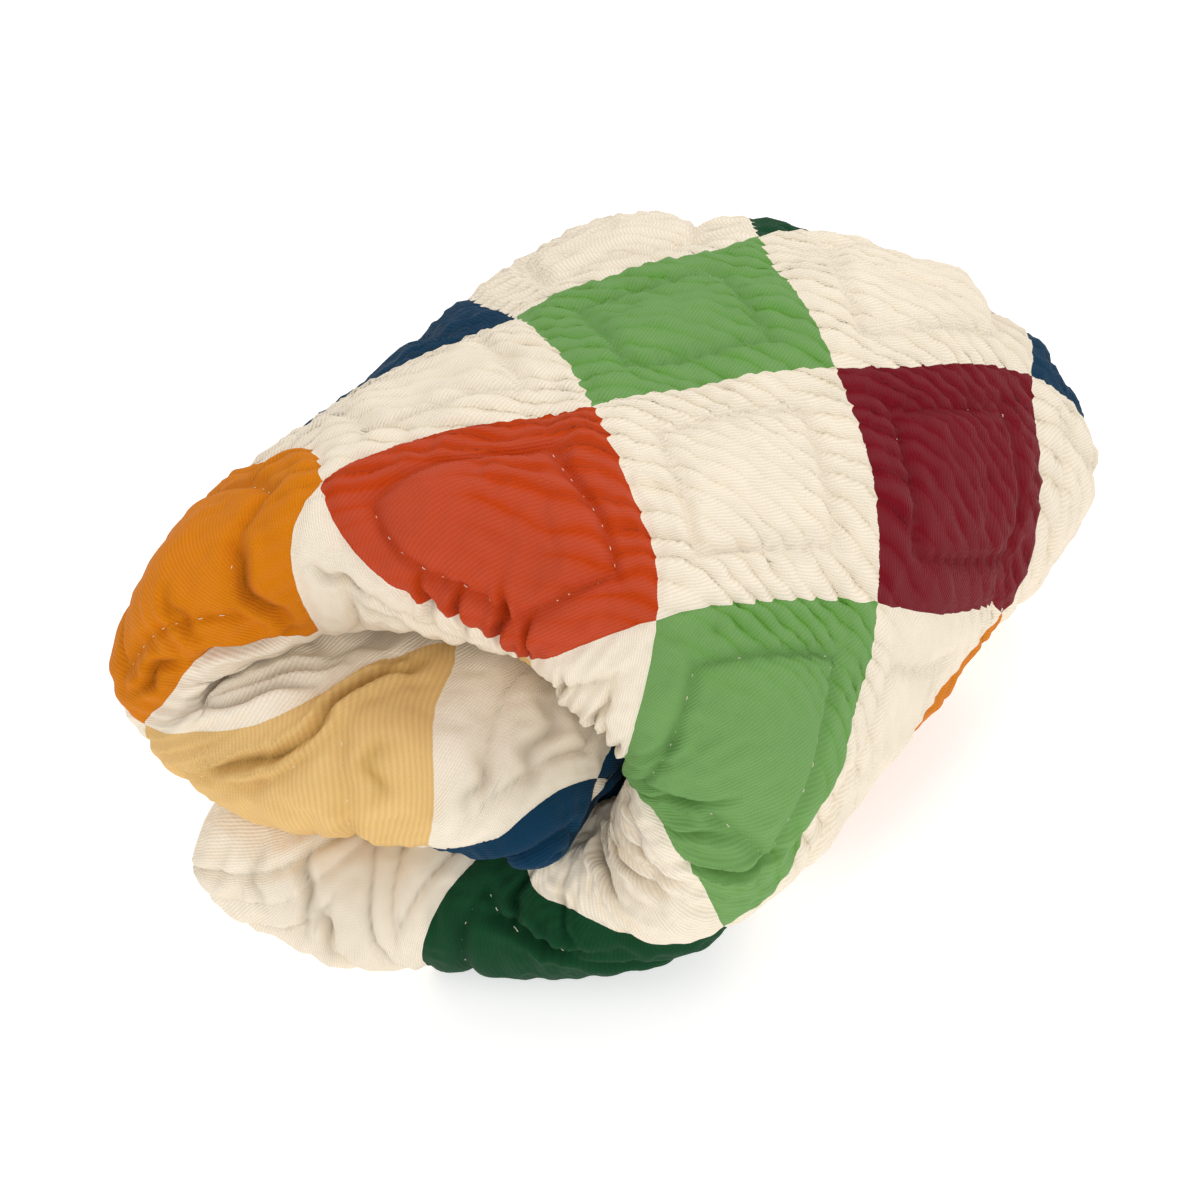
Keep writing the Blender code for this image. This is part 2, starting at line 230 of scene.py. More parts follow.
@dataclass
class Winding:
    """The smooth form of the roll: one doubled layer, wound up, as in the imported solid."""

    lip_depth: float = 0.049
    lip_arc: float = 0.070
    inner_fill: float = 0.70
    slight_bend: float = 1.0
    bend_smoothing: int = 6
    fold_gap: float = 0.006
    crease_step: float = 0.0015
    lip_steps: int = 5
    outer_steps: int = 31
    inner_steps: int = 15
    end_steps: int = 6
    end_turn: float = math.radians(88)
    end_corner: float = 0.020

    def row_of(self, name: str) -> int:
        """Row of the winding at which a stop lies."""
        before = list(WINDING).index(name)
        return self.end_steps + sum(stop.rows for stop in list(WINDING.values())[:before])

    def rounded_end(self, last: np.ndarray, before: np.ndarray) -> list[np.ndarray]:
        """Rows that close an end of the winding in a half round, each thinner and further out.

        Args:
            last: The end's own row of measures.
            before: The row before it.

        Returns:
            The added rows, going outwards.
        """
        heading = (last[LINES] - before[LINES]).reshape(3, 2)
        heading /= np.linalg.norm(heading, axis=1, keepdims=True)
        rows = []
        for step in range(1, self.end_steps + 1):
            turn = step / self.end_steps * self.end_turn
            row = last.copy()
            row[LINES] += (heading * last[THICK, None] / 2 * math.sin(turn)).ravel()
            row[THICK] *= math.cos(turn)
            row[SPAN] += np.array([1.0, -1.0]) * self.end_corner * (1 - math.cos(turn))
            rows.append(row)
        return rows

    def rows(self) -> np.ndarray:
        """Lay the winding out, with both of its ends rounded off.

        Returns:
            Rows of a stop's measures.
        """
        stops = list(WINDING.values())
        place = []
        for index, stop in enumerate(stops[:-1]):
            place += [index + step / stop.rows for step in range(stop.rows)]
        place.append(len(stops) - 1.0)
        rows = smooth_through(np.array([stop[:-1] for stop in stops]), np.array(place))
        start = self.rounded_end(rows[0], rows[1])
        finish = self.rounded_end(rows[-1], rows[-2])
        return np.array(start[::-1] + list(rows) + finish)

    def section(self) -> tuple[np.ndarray, np.ndarray, np.ndarray]:
        """Go round one section, from the near crest along the outer face and back along the inner one.

        Returns:
            The side of each place (1 outer, -1 inner), its turn round the lips and its share across.
        """
        places = []
        for face, steps in ((1, self.outer_steps), (-1, self.inner_steps)):
            lip = [step / self.lip_steps * math.pi / 2 for step in range(self.lip_steps)]
            near = [(face, turn, 0.0) for turn in lip]
            flat = [(face, math.pi / 2, step / steps) for step in range(steps)]
            far = [(face, math.pi / 2 + turn, 1.0) for turn in lip]
            run = near + flat + far
            places += run + [(face, math.pi, 1.0)] if face > 0 else run[:0:-1]
        side, turn, across = (np.array(column) for column in zip(*places))
        return side, turn, across

    def inner_room(self, along: np.ndarray, middle: np.ndarray) -> np.ndarray:
        """Find the room on the inner side of a bend, which the cloth can fill without folding over.

        Args:
            along: The middle line's direction at each place.
            middle: The middle line's points.

        Returns:
            The most that the cloth can stand out there.
        """
        heading = np.unwrap(np.arctan2(along[..., 1], along[..., 0]), axis=0)
        length = np.linalg.norm(np.gradient(middle, axis=0), axis=2)
        bend = np.maximum(np.gradient(heading, axis=0) / length, self.slight_bend)
        for _ in range(self.bend_smoothing):
            bend[1:-1] = (bend[:-2] + 2 * bend[1:-1] + bend[2:]) / 4
        return self.inner_fill / bend

    def part_fold(self, x: np.ndarray, z: np.ndarray, z_line: np.ndarray, side: np.ndarray) -> None:
        """Keep the two inner faces of the left-hand fold a little apart, above and below its crease.

        Args:
            x: The points' x, changed in place.
            z: The points' z, changed in place.
            z_line: The middle line's z.
            side: The side of each place of a section.
        """
        top = self.row_of("over right")
        crease = (self.row_of("left top") + self.row_of("left low")) // 2
        inner = side < 0
        level = z_line[crease]
        deepest = x[crease]
        for row in range(top, len(x)):
            away = abs(row - crease)
            bound = level + math.copysign(self.fold_gap / 2, crease - row)
            limit = np.maximum if row < crease else np.minimum
            z[row] = np.where(inner & (away > 0), limit(z[row], bound), z[row])
            x[row] = np.where(inner, np.maximum(x[row], deepest + away * self.crease_step), x[row])

    def surface(self) -> tuple[np.ndarray, np.ndarray, np.ndarray]:
        """Place the sections of the smooth winding.

        Returns:
            The points by row and place, how far each lies behind the near crest, and how far each
            row lies along the outer face from the free end.
        """
        rows = self.rows()
        side, turn, across = self.section()
        columns = dict(zip(Stop._fields, np.hsplit(rows, rows.shape[1])))
        near_y, far_y = columns["near_y"], columns["far_y"]
        flat = far_y - near_y - 2 * self.lip_depth
        y = near_y + across * flat + self.lip_depth * (1 - np.cos(turn))
        share = (y - near_y) / (far_y - near_y)
        rest = 1 - share
        behind = side * (turn / (math.pi / 2) * self.lip_arc + across * flat)
        x_line, z_line, thick = (
            columns[f"near_{measure}"] * rest * (rest - share)
            + columns[f"mid_{measure}"] * 4 * share * rest
            + columns[f"far_{measure}"] * share * (share - rest)
            for measure in ("x", "z", "thick")
        )
        middle = np.stack([x_line, z_line], axis=-1)
        along = np.gradient(middle, axis=0)
        along /= np.linalg.norm(along, axis=2, keepdims=True)
        half = np.sin(turn) * thick / 2
        half = np.where(side < 0, np.minimum(half, self.inner_room(along, middle)), half) * side
        x = x_line + along[..., 1] * half
        z = z_line - along[..., 0] * half
        self.part_fold(x, z, z_line, side)
        points = np.stack([x, y, z], axis=-1)
        halfway = self.lip_steps + self.outer_steps // 2
        steps = np.linalg.norm(np.diff(points[:, halfway], axis=0), axis=1)
        length = np.concatenate([[0.0], np.cumsum(steps)])
        return points, behind, length - length[self.row_of("free end")]


class Sheet(NamedTuple):
    """The winding in fine steps: its points by row and place, and their places in the cloth."""

    points: np.ndarray
    along: np.ndarray
    behind: np.ndarray
    far_crest: int
    fine_columns: np.ndarray


@dataclass
class FineWinding:
    """Lays the winding out in steps fine enough for the creases of its lips and the ripples behind."""

    row_step: float = 2.25 * MILLIMETRE
    lip_reach: float = 0.110
    lip_step: float = 2.4 * MILLIMETRE
    outer_step: float = 2.1 * MILLIMETRE
    inner_step: float = 16 * MILLIMETRE

    def sheet(self, winding: Winding) -> Sheet:
        """Read the smooth winding at fine steps.

        Args:
            winding: The smooth winding.

        Returns:
            Its points, with the place of each along and across the cloth.
        """
        points, behind, length = winding.surface()
        crest = 2 * winding.lip_steps + winding.outer_steps
        far = behind[:, crest:crest + 1]
        ring = np.concatenate([points, points[:, :1]], axis=1)
        inner = np.concatenate([-far, behind[:, crest + 1:], 0 * far], axis=1)
        outer = behind[:, :crest + 1]
        outer_mean = outer.mean(axis=0)
        inner_mean = inner.mean(axis=0)
        outer_at = np.concatenate([
            spaced(0.0, self.lip_reach, self.lip_step),
            spaced(self.lip_reach, outer_mean[-1], self.outer_step),
            [outer_mean[-1]],
        ])
        inner_at = np.concatenate([
            spaced(inner_mean[0], -self.lip_reach, self.inner_step)[1:],
            spaced(-self.lip_reach, 0.0, self.lip_step),
        ])
        outer_place = np.interp(outer_at, outer_mean, np.arange(crest + 1.0))
        inner_place = np.interp(inner_at, inner_mean, crest + np.arange(len(inner_mean)))
        strides = round((length[-1] - length[0]) / self.row_step / ROW_STRIDE)
        row_at = np.linspace(length[0], length[-1], strides * ROW_STRIDE + 1)
        row_place = np.interp(row_at, length, np.arange(float(len(length))))
        around = np.concatenate([points[:, -1:], ring, points[:, 1:2]], axis=1)
        rows = smooth_through(around, row_place)
        place = np.concatenate([outer_place, inner_place]) + 1.0
        fine = smooth_through(rows.swapaxes(0, 1), place).swapaxes(0, 1)
        row_behind = smooth_through(np.concatenate([outer, inner[:, 1:]], axis=1), row_place)
        # linear across, so that the turn at the far crest stays sharp
        flat_places = np.arange(row_behind.shape[1], dtype=float)
        fine_behind = np.stack([np.interp(place - 1.0, flat_places, row) for row in row_behind])
        far_crest = len(outer_place) - 1
        fine_columns = np.concatenate([outer_at <= self.lip_reach, inner_at >= -self.lip_reach])
        after = slice(far_crest + 1, None)
        inner_rows = smooth_through(inner, row_place)
        inner_flat = crest + np.arange(inner_rows.shape[1], dtype=float)
        fine_behind[:, after] = np.stack([np.interp(inner_place, inner_flat, row) for row in inner_rows])
        along = np.broadcast_to(row_at[:, None], fine_behind.shape)
        return Sheet(fine, along, fine_behind, far_crest, fine_columns)


def nearness(
    along: np.ndarray, behind: np.ndarray, spot: Sequence[float], reach: float, flatness: int = 1
) -> np.ndarray:
    """How near places of the cloth lie to a spot.

    Args:
        along: Distances along the winding.
        behind: Distances behind the near crest.
        spot: The spot, along and behind.
        reach: How far round the spot it fades.
        flatness: How flat it stays before it fades.

    Returns:
        1 on the spot, fading to 0.
    """
    away = ((along - spot[0]) ** 2 + (behind - spot[1]) ** 2) / reach**2
    return np.exp(-(away**flatness))


@dataclass
class Patchwork:
    """Where each point of the cloth lies in the patchwork, counted in patches along both sides."""

    half_diagonal: float = 0.0985
    along: float = 0.7255
    across: float = 0.044
    reach: float = 0.085
    search_steps: int = 40
    search_share: float = 0.5
    _places: np.ndarray = field(init=False)
    _weights: np.ndarray = field(init=False)

    def __post_init__(self) -> None:
        """Work out how much each pulled corner moves the cloth round it."""
        self._places = np.array(list(CORNERS.values()))
        even = np.array([self.even_place(*corner) for corner in CORNERS])
        apart = np.linalg.norm(self._places[:, None] - self._places[None], axis=2)
        self._weights = np.linalg.solve(np.exp(-((apart / self.reach) ** 2)), even - self._places)

    @property
    def side(self) -> float:
        """Side of a patch as it lies."""
        return self.half_diagonal * math.sqrt(2)

    def even_place(self, first: float, second: float) -> tuple[float, float]:
        """Place in the roll of a point of the patchwork, had nothing been pulled."""
        return (
            self.along - (first + second) * self.half_diagonal,
            self.across + (first - second) * self.half_diagonal,
        )

    def pull(self, along: np.ndarray, behind: np.ndarray) -> np.ndarray:
        """How far the cloth at each place has been pulled off its even place.

        Args:
            along: Distances along the winding.
            behind: Distances behind the near crest.

        Returns:
            The pull along and behind, as two columns.
        """
        moved = np.zeros(along.shape + (2,))
        for place, weight in zip(self._places, self._weights):
            moved += nearness(along, behind, place, self.reach)[..., None] * weight
        return moved

    def squares(self, along: np.ndarray, behind: np.ndarray) -> tuple[np.ndarray, np.ndarray]:
        """Count patches along both sides.

        Args:
            along: Distances along the winding.
            behind: Distances behind the near crest.

        Returns:
            The two counts. A whole number is a seam.
        """
        moved = self.pull(along, behind)
        total = (self.along - along - moved[..., 0]) / self.half_diagonal
        difference = (behind + moved[..., 1] - self.across) / self.half_diagonal
        return (total + difference) / 2, (total - difference) / 2

    def place_of(self, first: np.ndarray, second: np.ndarray) -> tuple[np.ndarray, np.ndarray]:
        """Find where points of the patchwork lie in the roll, by stepping towards them.

        Args:
            first: Counts along the first side.
            second: Counts along the second side.

        Returns:
            Distances along the winding and behind the near crest.
        """
        even_along, even_behind = self.even_place(first, second)
        along, behind = even_along.copy(), even_behind.copy()
        for _ in range(self.search_steps):
            moved = self.pull(along, behind)
            along += self.search_share * (even_along - moved[..., 0] - along)
            behind += self.search_share * (even_behind - moved[..., 1] - behind)
        return along, behind


@dataclass(frozen=True)
class Unevenness:
    """A smooth random field over the cloth: how strong, how far apart its hills are, and its seed."""

    strength: float
    size: float
    seed: int
    waves: int = 14
    least_length: float = 0.7
    most_length: float = 1.6

    def at(self, along: np.ndarray, behind: np.ndarray) -> np.ndarray:
        """Read the field.

        Args:
            along: Distances along the winding.
            behind: Distances behind the near crest.

        Returns:
            Its value at each place, mostly between its strength and minus that.
        """
        chance = np.random.default_rng(self.seed)
        total = np.zeros(along.shape)
        for _ in range(self.waves):
            turn = chance.uniform(0, 2 * math.pi)
            rate = 2 * math.pi / (self.size * chance.uniform(self.least_length, self.most_length))
            start = chance.uniform(0, 2 * math.pi)
            total += np.sin((along * math.cos(turn) + behind * math.sin(turn)) * rate + start)
        return self.strength * (total / math.sqrt(self.waves))


def rise(past: np.ndarray, width: float) -> np.ndarray:
    """A soft step from 0 to 1 where a measure passes zero."""
    return 1 / (1 + np.exp(-past / width))


class Crease(NamedTuple):
    """A fold pressed into the cloth, from one place to another, as a trough with raised sides."""

    along: float
    behind: float
    to_along: float
    to_behind: float
    depth_mm: float
    width_mm: float


CREASES = {
    "mustard gather": Crease(0.766, 0.040, 0.748, -0.014, 8.0, 3.3),
    "mustard lower fold": Crease(0.745, -0.026, 0.806, -0.010, 5.8, 3.0),
    "mustard tip": Crease(0.862, 0.006, 0.812, -0.002, 5.8, 3.0),
    "mustard side": Crease(0.800, 0.030, 0.790, 0.002, 3.4, 3.3),
    "wedge gather": Crease(0.724, 0.016, 0.694, -0.002, 4.6, 2.6),
    "wedge lip": Crease(0.705, -0.004, 0.676, -0.024, 3.4, 2.3),
    "rust lip first": Crease(0.662, 0.018, 0.655, -0.018, 4.6, 2.6),
    "rust lip second": Crease(0.640, 0.014, 0.634, -0.022, 5.2, 2.6),
    "rust lip third": Crease(0.612, 0.022, 0.606, -0.024, 5.8, 3.0),
    "rust lip fourth": Crease(0.590, 0.016, 0.584, -0.024, 4.6, 2.6),
    "droop first": Crease(0.548, -0.004, 0.536, -0.040, 5.8, 3.0),
    "droop second": Crease(0.506, 0.000, 0.490, -0.044, 5.8, 3.0),
    "droop third": Crease(0.470, -0.012, 0.458, -0.050, 4.6, 3.0),
    "strip long": Crease(0.920, -0.026, 1.000, -0.078, 6.9, 3.6),
    "strip short": Crease(0.950, -0.060, 1.005, -0.100, 4.6, 3.0),
    "tan long": Crease(0.958, 0.002, 1.034, -0.052, 8.0, 3.6),
    "tan long upper": Crease(1.022, -0.038, 1.042, -0.108, 7.0, 3.6),
    "tan upper": Crease(1.030, -0.072, 1.054, -0.112, 5.0, 3.0),
    "tan upright": Crease(1.058, -0.046, 1.066, -0.014, 3.4, 3.0),
    "middle cream dimple": Crease(1.106, -0.098, 1.112, -0.052, 4.6, 4.0),
    "middle cream second": Crease(1.094, -0.060, 1.098, -0.020, 3.4, 3.3),
    "bend deep": Crease(0.232, -0.066, 0.264, -0.010, 9.2, 4.0),
    "bend second": Crease(0.292, -0.052, 0.302, 0.004, 8.0, 3.6),
    "bend third": Crease(0.328, -0.034, 0.320, 0.012, 5.8, 3.0),
    "bend inner": Crease(0.360, -0.060, 0.350, -0.016, 5.8, 3.3),
    "green fold": Crease(0.342, 0.006, 0.338, 0.056, 8.0, 3.0),
    "green edge": Crease(0.402, -0.022, 0.394, 0.030, 4.6, 3.0),
    "green edge low": Crease(0.372, -0.010, 0.368, 0.030, 4.0, 2.6),
    "dark green long": Crease(0.134, -0.022, 0.220, 0.012, 5.8, 3.0),
    "dark green top": Crease(0.150, -0.050, 0.153, -0.012, 6.9, 3.0),
    "dark green side": Crease(0.196, -0.034, 0.206, 0.002, 4.6, 3.0),
    "free end gather": Crease(0.034, -0.046, 0.046, 0.002, 5.8, 3.0),
    "free end second": Crease(0.050, -0.018, 0.060, 0.022, 4.6, 2.6),
    "free end corner": Crease(0.004, -0.040, 0.012, 0.000, 3.4, 3.3),
    "cream seam": Crease(0.066, -0.052, 0.092, 0.030, 4.0, 1.7),
}

# Where the soft roll has sunk or swelled under its own weight: along, behind, how far round, and how far.
SWELLS = {
    "upper left": (0.770, 0.240, 0.085, -10 * MILLIMETRE),
    "upper far left": (0.715, 0.370, 0.060, -8 * MILLIMETRE),
    "far top": (0.600, 0.410, 0.080, -8 * MILLIMETRE),
    "far right top": (0.450, 0.405, 0.065, -11 * MILLIMETRE),
    "right": (0.335, 0.385, 0.045, 6 * MILLIMETRE),
    "free end front": (0.070, 0.010, 0.050, 8 * MILLIMETRE),
    "free end side": (-0.030, -0.010, 0.035, -6 * MILLIMETRE),
}

# Where the cloth lies smooth between its creases: along, behind and how far round.
SMOOTH_PLACES = {
    "mustard": (0.810, 0.030, 0.060),
    "rust": (0.672, 0.046, 0.034),
    "front green": (0.400, 0.052, 0.046),
    "right cream": (0.380, 0.190, 0.060),
    "tan": (1.000, -0.050, 0.060),
    "bottom cream": (0.050, -0.020, 0.060),
    "strip": (0.920, -0.050, 0.050),
    "middle cream": (1.100, -0.060, 0.055),
}


@dataclass
class Quilting:
    """The relief of the quilted cloth: puffed patches, sewn lines, ripples, pleats and creases."""

    patchwork: Patchwork
    inner_square: float = 0.2
    puff: float = 5.0 * MILLIMETRE
    puff_reach: float = 4.5 * MILLIMETRE
    puff_sharpness: float = 1.3
    seam_ditch: float = 0.45
    crown: float = 2.5 * MILLIMETRE
    base_drop: float = 4.5 * MILLIMETRE
    sag: Unevenness = Unevenness(1.7 * MILLIMETRE, 0.075, 3)
    # painted shade along the inner sewn lines: how dark, and how far it reaches
    line_shade: float = 0.18
    line_shade_reach: float = 0.0035
    stitch_reach: float = 3.0 * MILLIMETRE
    # the small rolls: how they run, and how strong they are in the borders, the middles and the lips
    ripple: float = 1.25 * MILLIMETRE
    ripple_length: float = 12.0 * MILLIMETRE
    ripple_slant: float = 0.20
    ripple_roundness: float = 0.6
    ripple_range: tuple[float, float] = (0.05, 1.5)
    smooth_calm: float = 0.85
    ripple_wander: Unevenness = Unevenness(0.006, 0.13, 11)
    ripple_waver: Unevenness = Unevenness(0.0012, 0.03, 12)
    ripple_patchiness: Unevenness = Unevenness(0.35, 0.04, 13)
    border_shift: float = 0.45
    border_strength: float = 1.05
    middle_strength: float = 0.42
    line_strength: float = 0.50
    line_reach: float = 0.013
    line_still: float = 0.85
    line_width: float = 0.0026
    lip_end: float = 0.052
    lip_fade: float = 0.010
    lip_strength: float = 0.10
    under_end: float = 0.30
    under_fade: float = 0.012
    # the pleats over the near lip
    pleat: float = 1.5 * MILLIMETRE
    pleat_length: float = 17 * MILLIMETRE
    pleat_slant: float = 0.15
    pleat_middle: float = -0.004
    pleat_reach: float = 0.034
    pleat_sink: float = 0.3
    pleat_share: float = 0.55
    pleat_range: tuple[float, float] = (0.0, 1.4)
    pleat_wander: Unevenness = Unevenness(0.012, 0.09, 21)
    pleat_patchiness: Unevenness = Unevenness(0.6, 0.05, 22)
    # a crease's wandering and its roll, in its own widths
    crease_wander: float = 0.7
    crease_bends: float = 9.0
    crease_sharpness: float = 1.3
    roll_share: float = 0.5
    roll_place: float = 2.2
    roll_width: float = 1.1
    # a crease this deep gets its full painted shade
    full_shade_mm: float = 5.0

    def ditch(self, away: np.ndarray) -> np.ndarray:
        """How deep in a sewn line's ditch places lie that are so far away from it, from 0 to 1."""
        return np.exp(-((np.abs(away) / self.puff_reach) ** self.puff_sharpness))

    def from_seam(self, along: np.ndarray, behind: np.ndarray) -> np.ndarray:
        """How far places lie from the nearest seam, as a share of a patch's side."""
        first, second = self.patchwork.squares(along, behind)
        return np.minimum(np.abs(first - np.round(first)), np.abs(second - np.round(second)))

    def height(self, sheet: Sheet) -> np.ndarray:
        """Height of the relief.

        Args:
            sheet: The fine sheet.

        Returns:
            A height for each of the sheet's points.
        """
        along, behind = sheet.along, sheet.behind
        first, second = self.patchwork.squares(along, behind)
        from_first = np.abs(first - np.round(first))
        from_second = np.abs(second - np.round(second))
        from_seam = np.minimum(from_first, from_second) * self.patchwork.side
        sewn = self.ditch(from_seam - self.inner_square * self.patchwork.side)
        seam = self.ditch(from_seam)
        height = self.puff * (1 - sewn) * (1 - self.seam_ditch * seam) - self.base_drop
        height += self.crown * np.sin(math.pi * from_first) * np.sin(math.pi * from_second)
        phase, strength = self.ripples(along, behind)
        ridge = 2 * np.abs(np.sin(math.pi * phase)) ** self.ripple_roundness - 1
        height += self.ripple * ridge * strength
        height += self.pleats(along, behind)
        height += self.sag.at(along, behind)
        for crease in CREASES.values():
            height += self.crease(crease, along, behind)[0]
        return height

    def liveliness(self, along: np.ndarray, behind: np.ndarray) -> np.ndarray:
        """How freely the cloth ripples.

        Args:
            along: Distances along the winding.
            behind: Distances behind the near crest.

        Returns:
            1, and little where the cloth lies smooth.
        """
        share = np.ones(along.shape)
        for *spot, size in SMOOTH_PLACES.values():
            share *= 1 - self.smooth_calm * nearness(along, behind, spot, size, flatness=2)
        return share

    def ripples(self, along: np.ndarray, behind: np.ndarray) -> tuple[np.ndarray, np.ndarray]:
        """Small rolls that run round the winding, where the running stitches gather the jersey.

        Args:
            along: Distances along the winding.
            behind: Distances behind the near crest.

        Returns:
            Their count across the rolls, and their strength, which is greatest between the sewn lines.
        """
        from_seam = self.from_seam(along, behind)
        border = from_seam < self.inner_square
        wander = self.ripple_wander.at(along, behind) + self.ripple_waver.at(along, behind)
        phase = (behind + self.ripple_slant * along + wander) / self.ripple_length
        phase = phase + np.where(border, self.border_shift, 0.0)
        to_line = np.abs(from_seam - self.inner_square) * self.patchwork.side
        middle = self.middle_strength + self.line_strength * np.exp(-to_line / self.line_reach)
        strength = np.where(border, self.border_strength, middle)
        strength = strength * self.liveliness(along, behind)
        strength = strength * (1 + self.ripple_patchiness.at(along, behind))
        strength = np.clip(strength, *self.ripple_range)
        behind_lip = rise(behind - self.lip_end, self.lip_fade)
        behind_lip = behind_lip * rise(along - self.under_end, self.under_fade)
        strength = strength * np.maximum(behind_lip, self.lip_strength)
        return phase, strength * (1 - self.line_still * np.exp(-((to_line / self.line_width) ** 2)))

    def pleats(self, along: np.ndarray, behind: np.ndarray) -> np.ndarray:
        """Short soft pleats over the near lip, where the doubled cloth is gathered.

        Args:
            along: Distances along the winding.
            behind: Distances behind the near crest.

        Returns:
            Their height at each place.
        """
        place = along + self.pleat_slant * behind + self.pleat_wander.at(along, behind)
        wave = np.cos(2 * math.pi * place / self.pleat_length)
        at_lip = np.exp(-(((behind - self.pleat_middle) / self.pleat_reach) ** 2))
        strength = np.clip(self.pleat_share + self.pleat_patchiness.at(along, behind), *self.pleat_range)
        return self.pleat * (wave - self.pleat_sink) * at_lip * strength

    def crease(
        self, crease: Crease, along: np.ndarray, behind: np.ndarray
    ) -> tuple[np.ndarray, np.ndarray]:
        """One crease: a sharp valley, deepest halfway, fading at both ends, with a raised roll beside it.

        Args:
            crease: Where it runs, how deep and how wide.
            along: Distances along the winding.
            behind: Distances behind the near crest.

        Returns:
            Its height at each place, and how deep each place lies in its valley, from 0 to 1, which weighs
            its painted shade.
        """
        width = crease.width_mm * MILLIMETRE
        run = np.array([crease.to_along - crease.along, crease.to_behind - crease.behind])
        length = np.linalg.norm(run)
        step = run / length
        ahead = (along - crease.along) * step[0] + (behind - crease.behind) * step[1]
        beside = -(along - crease.along) * step[1] + (behind - crease.behind) * step[0]
        place = np.clip(ahead / length, 0.0, 1.0)
        past = ahead - place * length
        # each crease starts its bends elsewhere, by where it lies
        wander = width * self.crease_wander * np.sin(place * self.crease_bends + crease.along * 90)
        across = np.abs(beside + wander) / width
        fade = np.sin(math.pi * np.clip(place, 0.04, 0.96)) ** 0.6 * np.exp(-((past / width) ** 2))
        valley = np.exp(-(across**self.crease_sharpness)) * fade
        roll = self.roll_share * np.exp(-(((across - self.roll_place) / self.roll_width) ** 2)) * fade
        return crease.depth_mm * MILLIMETRE * (roll - valley), valley

    def near_stitches(self, along: np.ndarray, behind: np.ndarray) -> np.ndarray:
        """Tell which places lie within the reach of a seam or of a sewn line.

        Args:
            along: Distances along the winding.
            behind: Distances behind the near crest.

        Returns:
            True for those that do.
        """
        from_seam = self.from_seam(along, behind)
        to_line = np.minimum(from_seam, np.abs(from_seam - self.inner_square)) * self.patchwork.side
        return to_line < self.stitch_reach

    def painted_shade_mask(self, sheet: Sheet) -> np.ndarray:
        """How much painted shade each point gets, inside a crease or along a sewn line.

        Args:
            sheet: The fine sheet.

        Returns:
            A share from 0 to 1 for each of the sheet's points.
        """
        along, behind = sheet.along, sheet.behind
        to_line = np.abs(self.from_seam(along, behind) - self.inner_square) * self.patchwork.side
        # painted shade along the inner sewn lines, and in each crease by its depth, the darker one counting
        total = self.line_shade * np.exp(-((to_line / self.line_shade_reach) ** 2))
        for crease in CREASES.values():
            share = min(1.0, crease.depth_mm / self.full_shade_mm)
            total = np.maximum(total, self.crease(crease, along, behind)[1] * share)
        return total


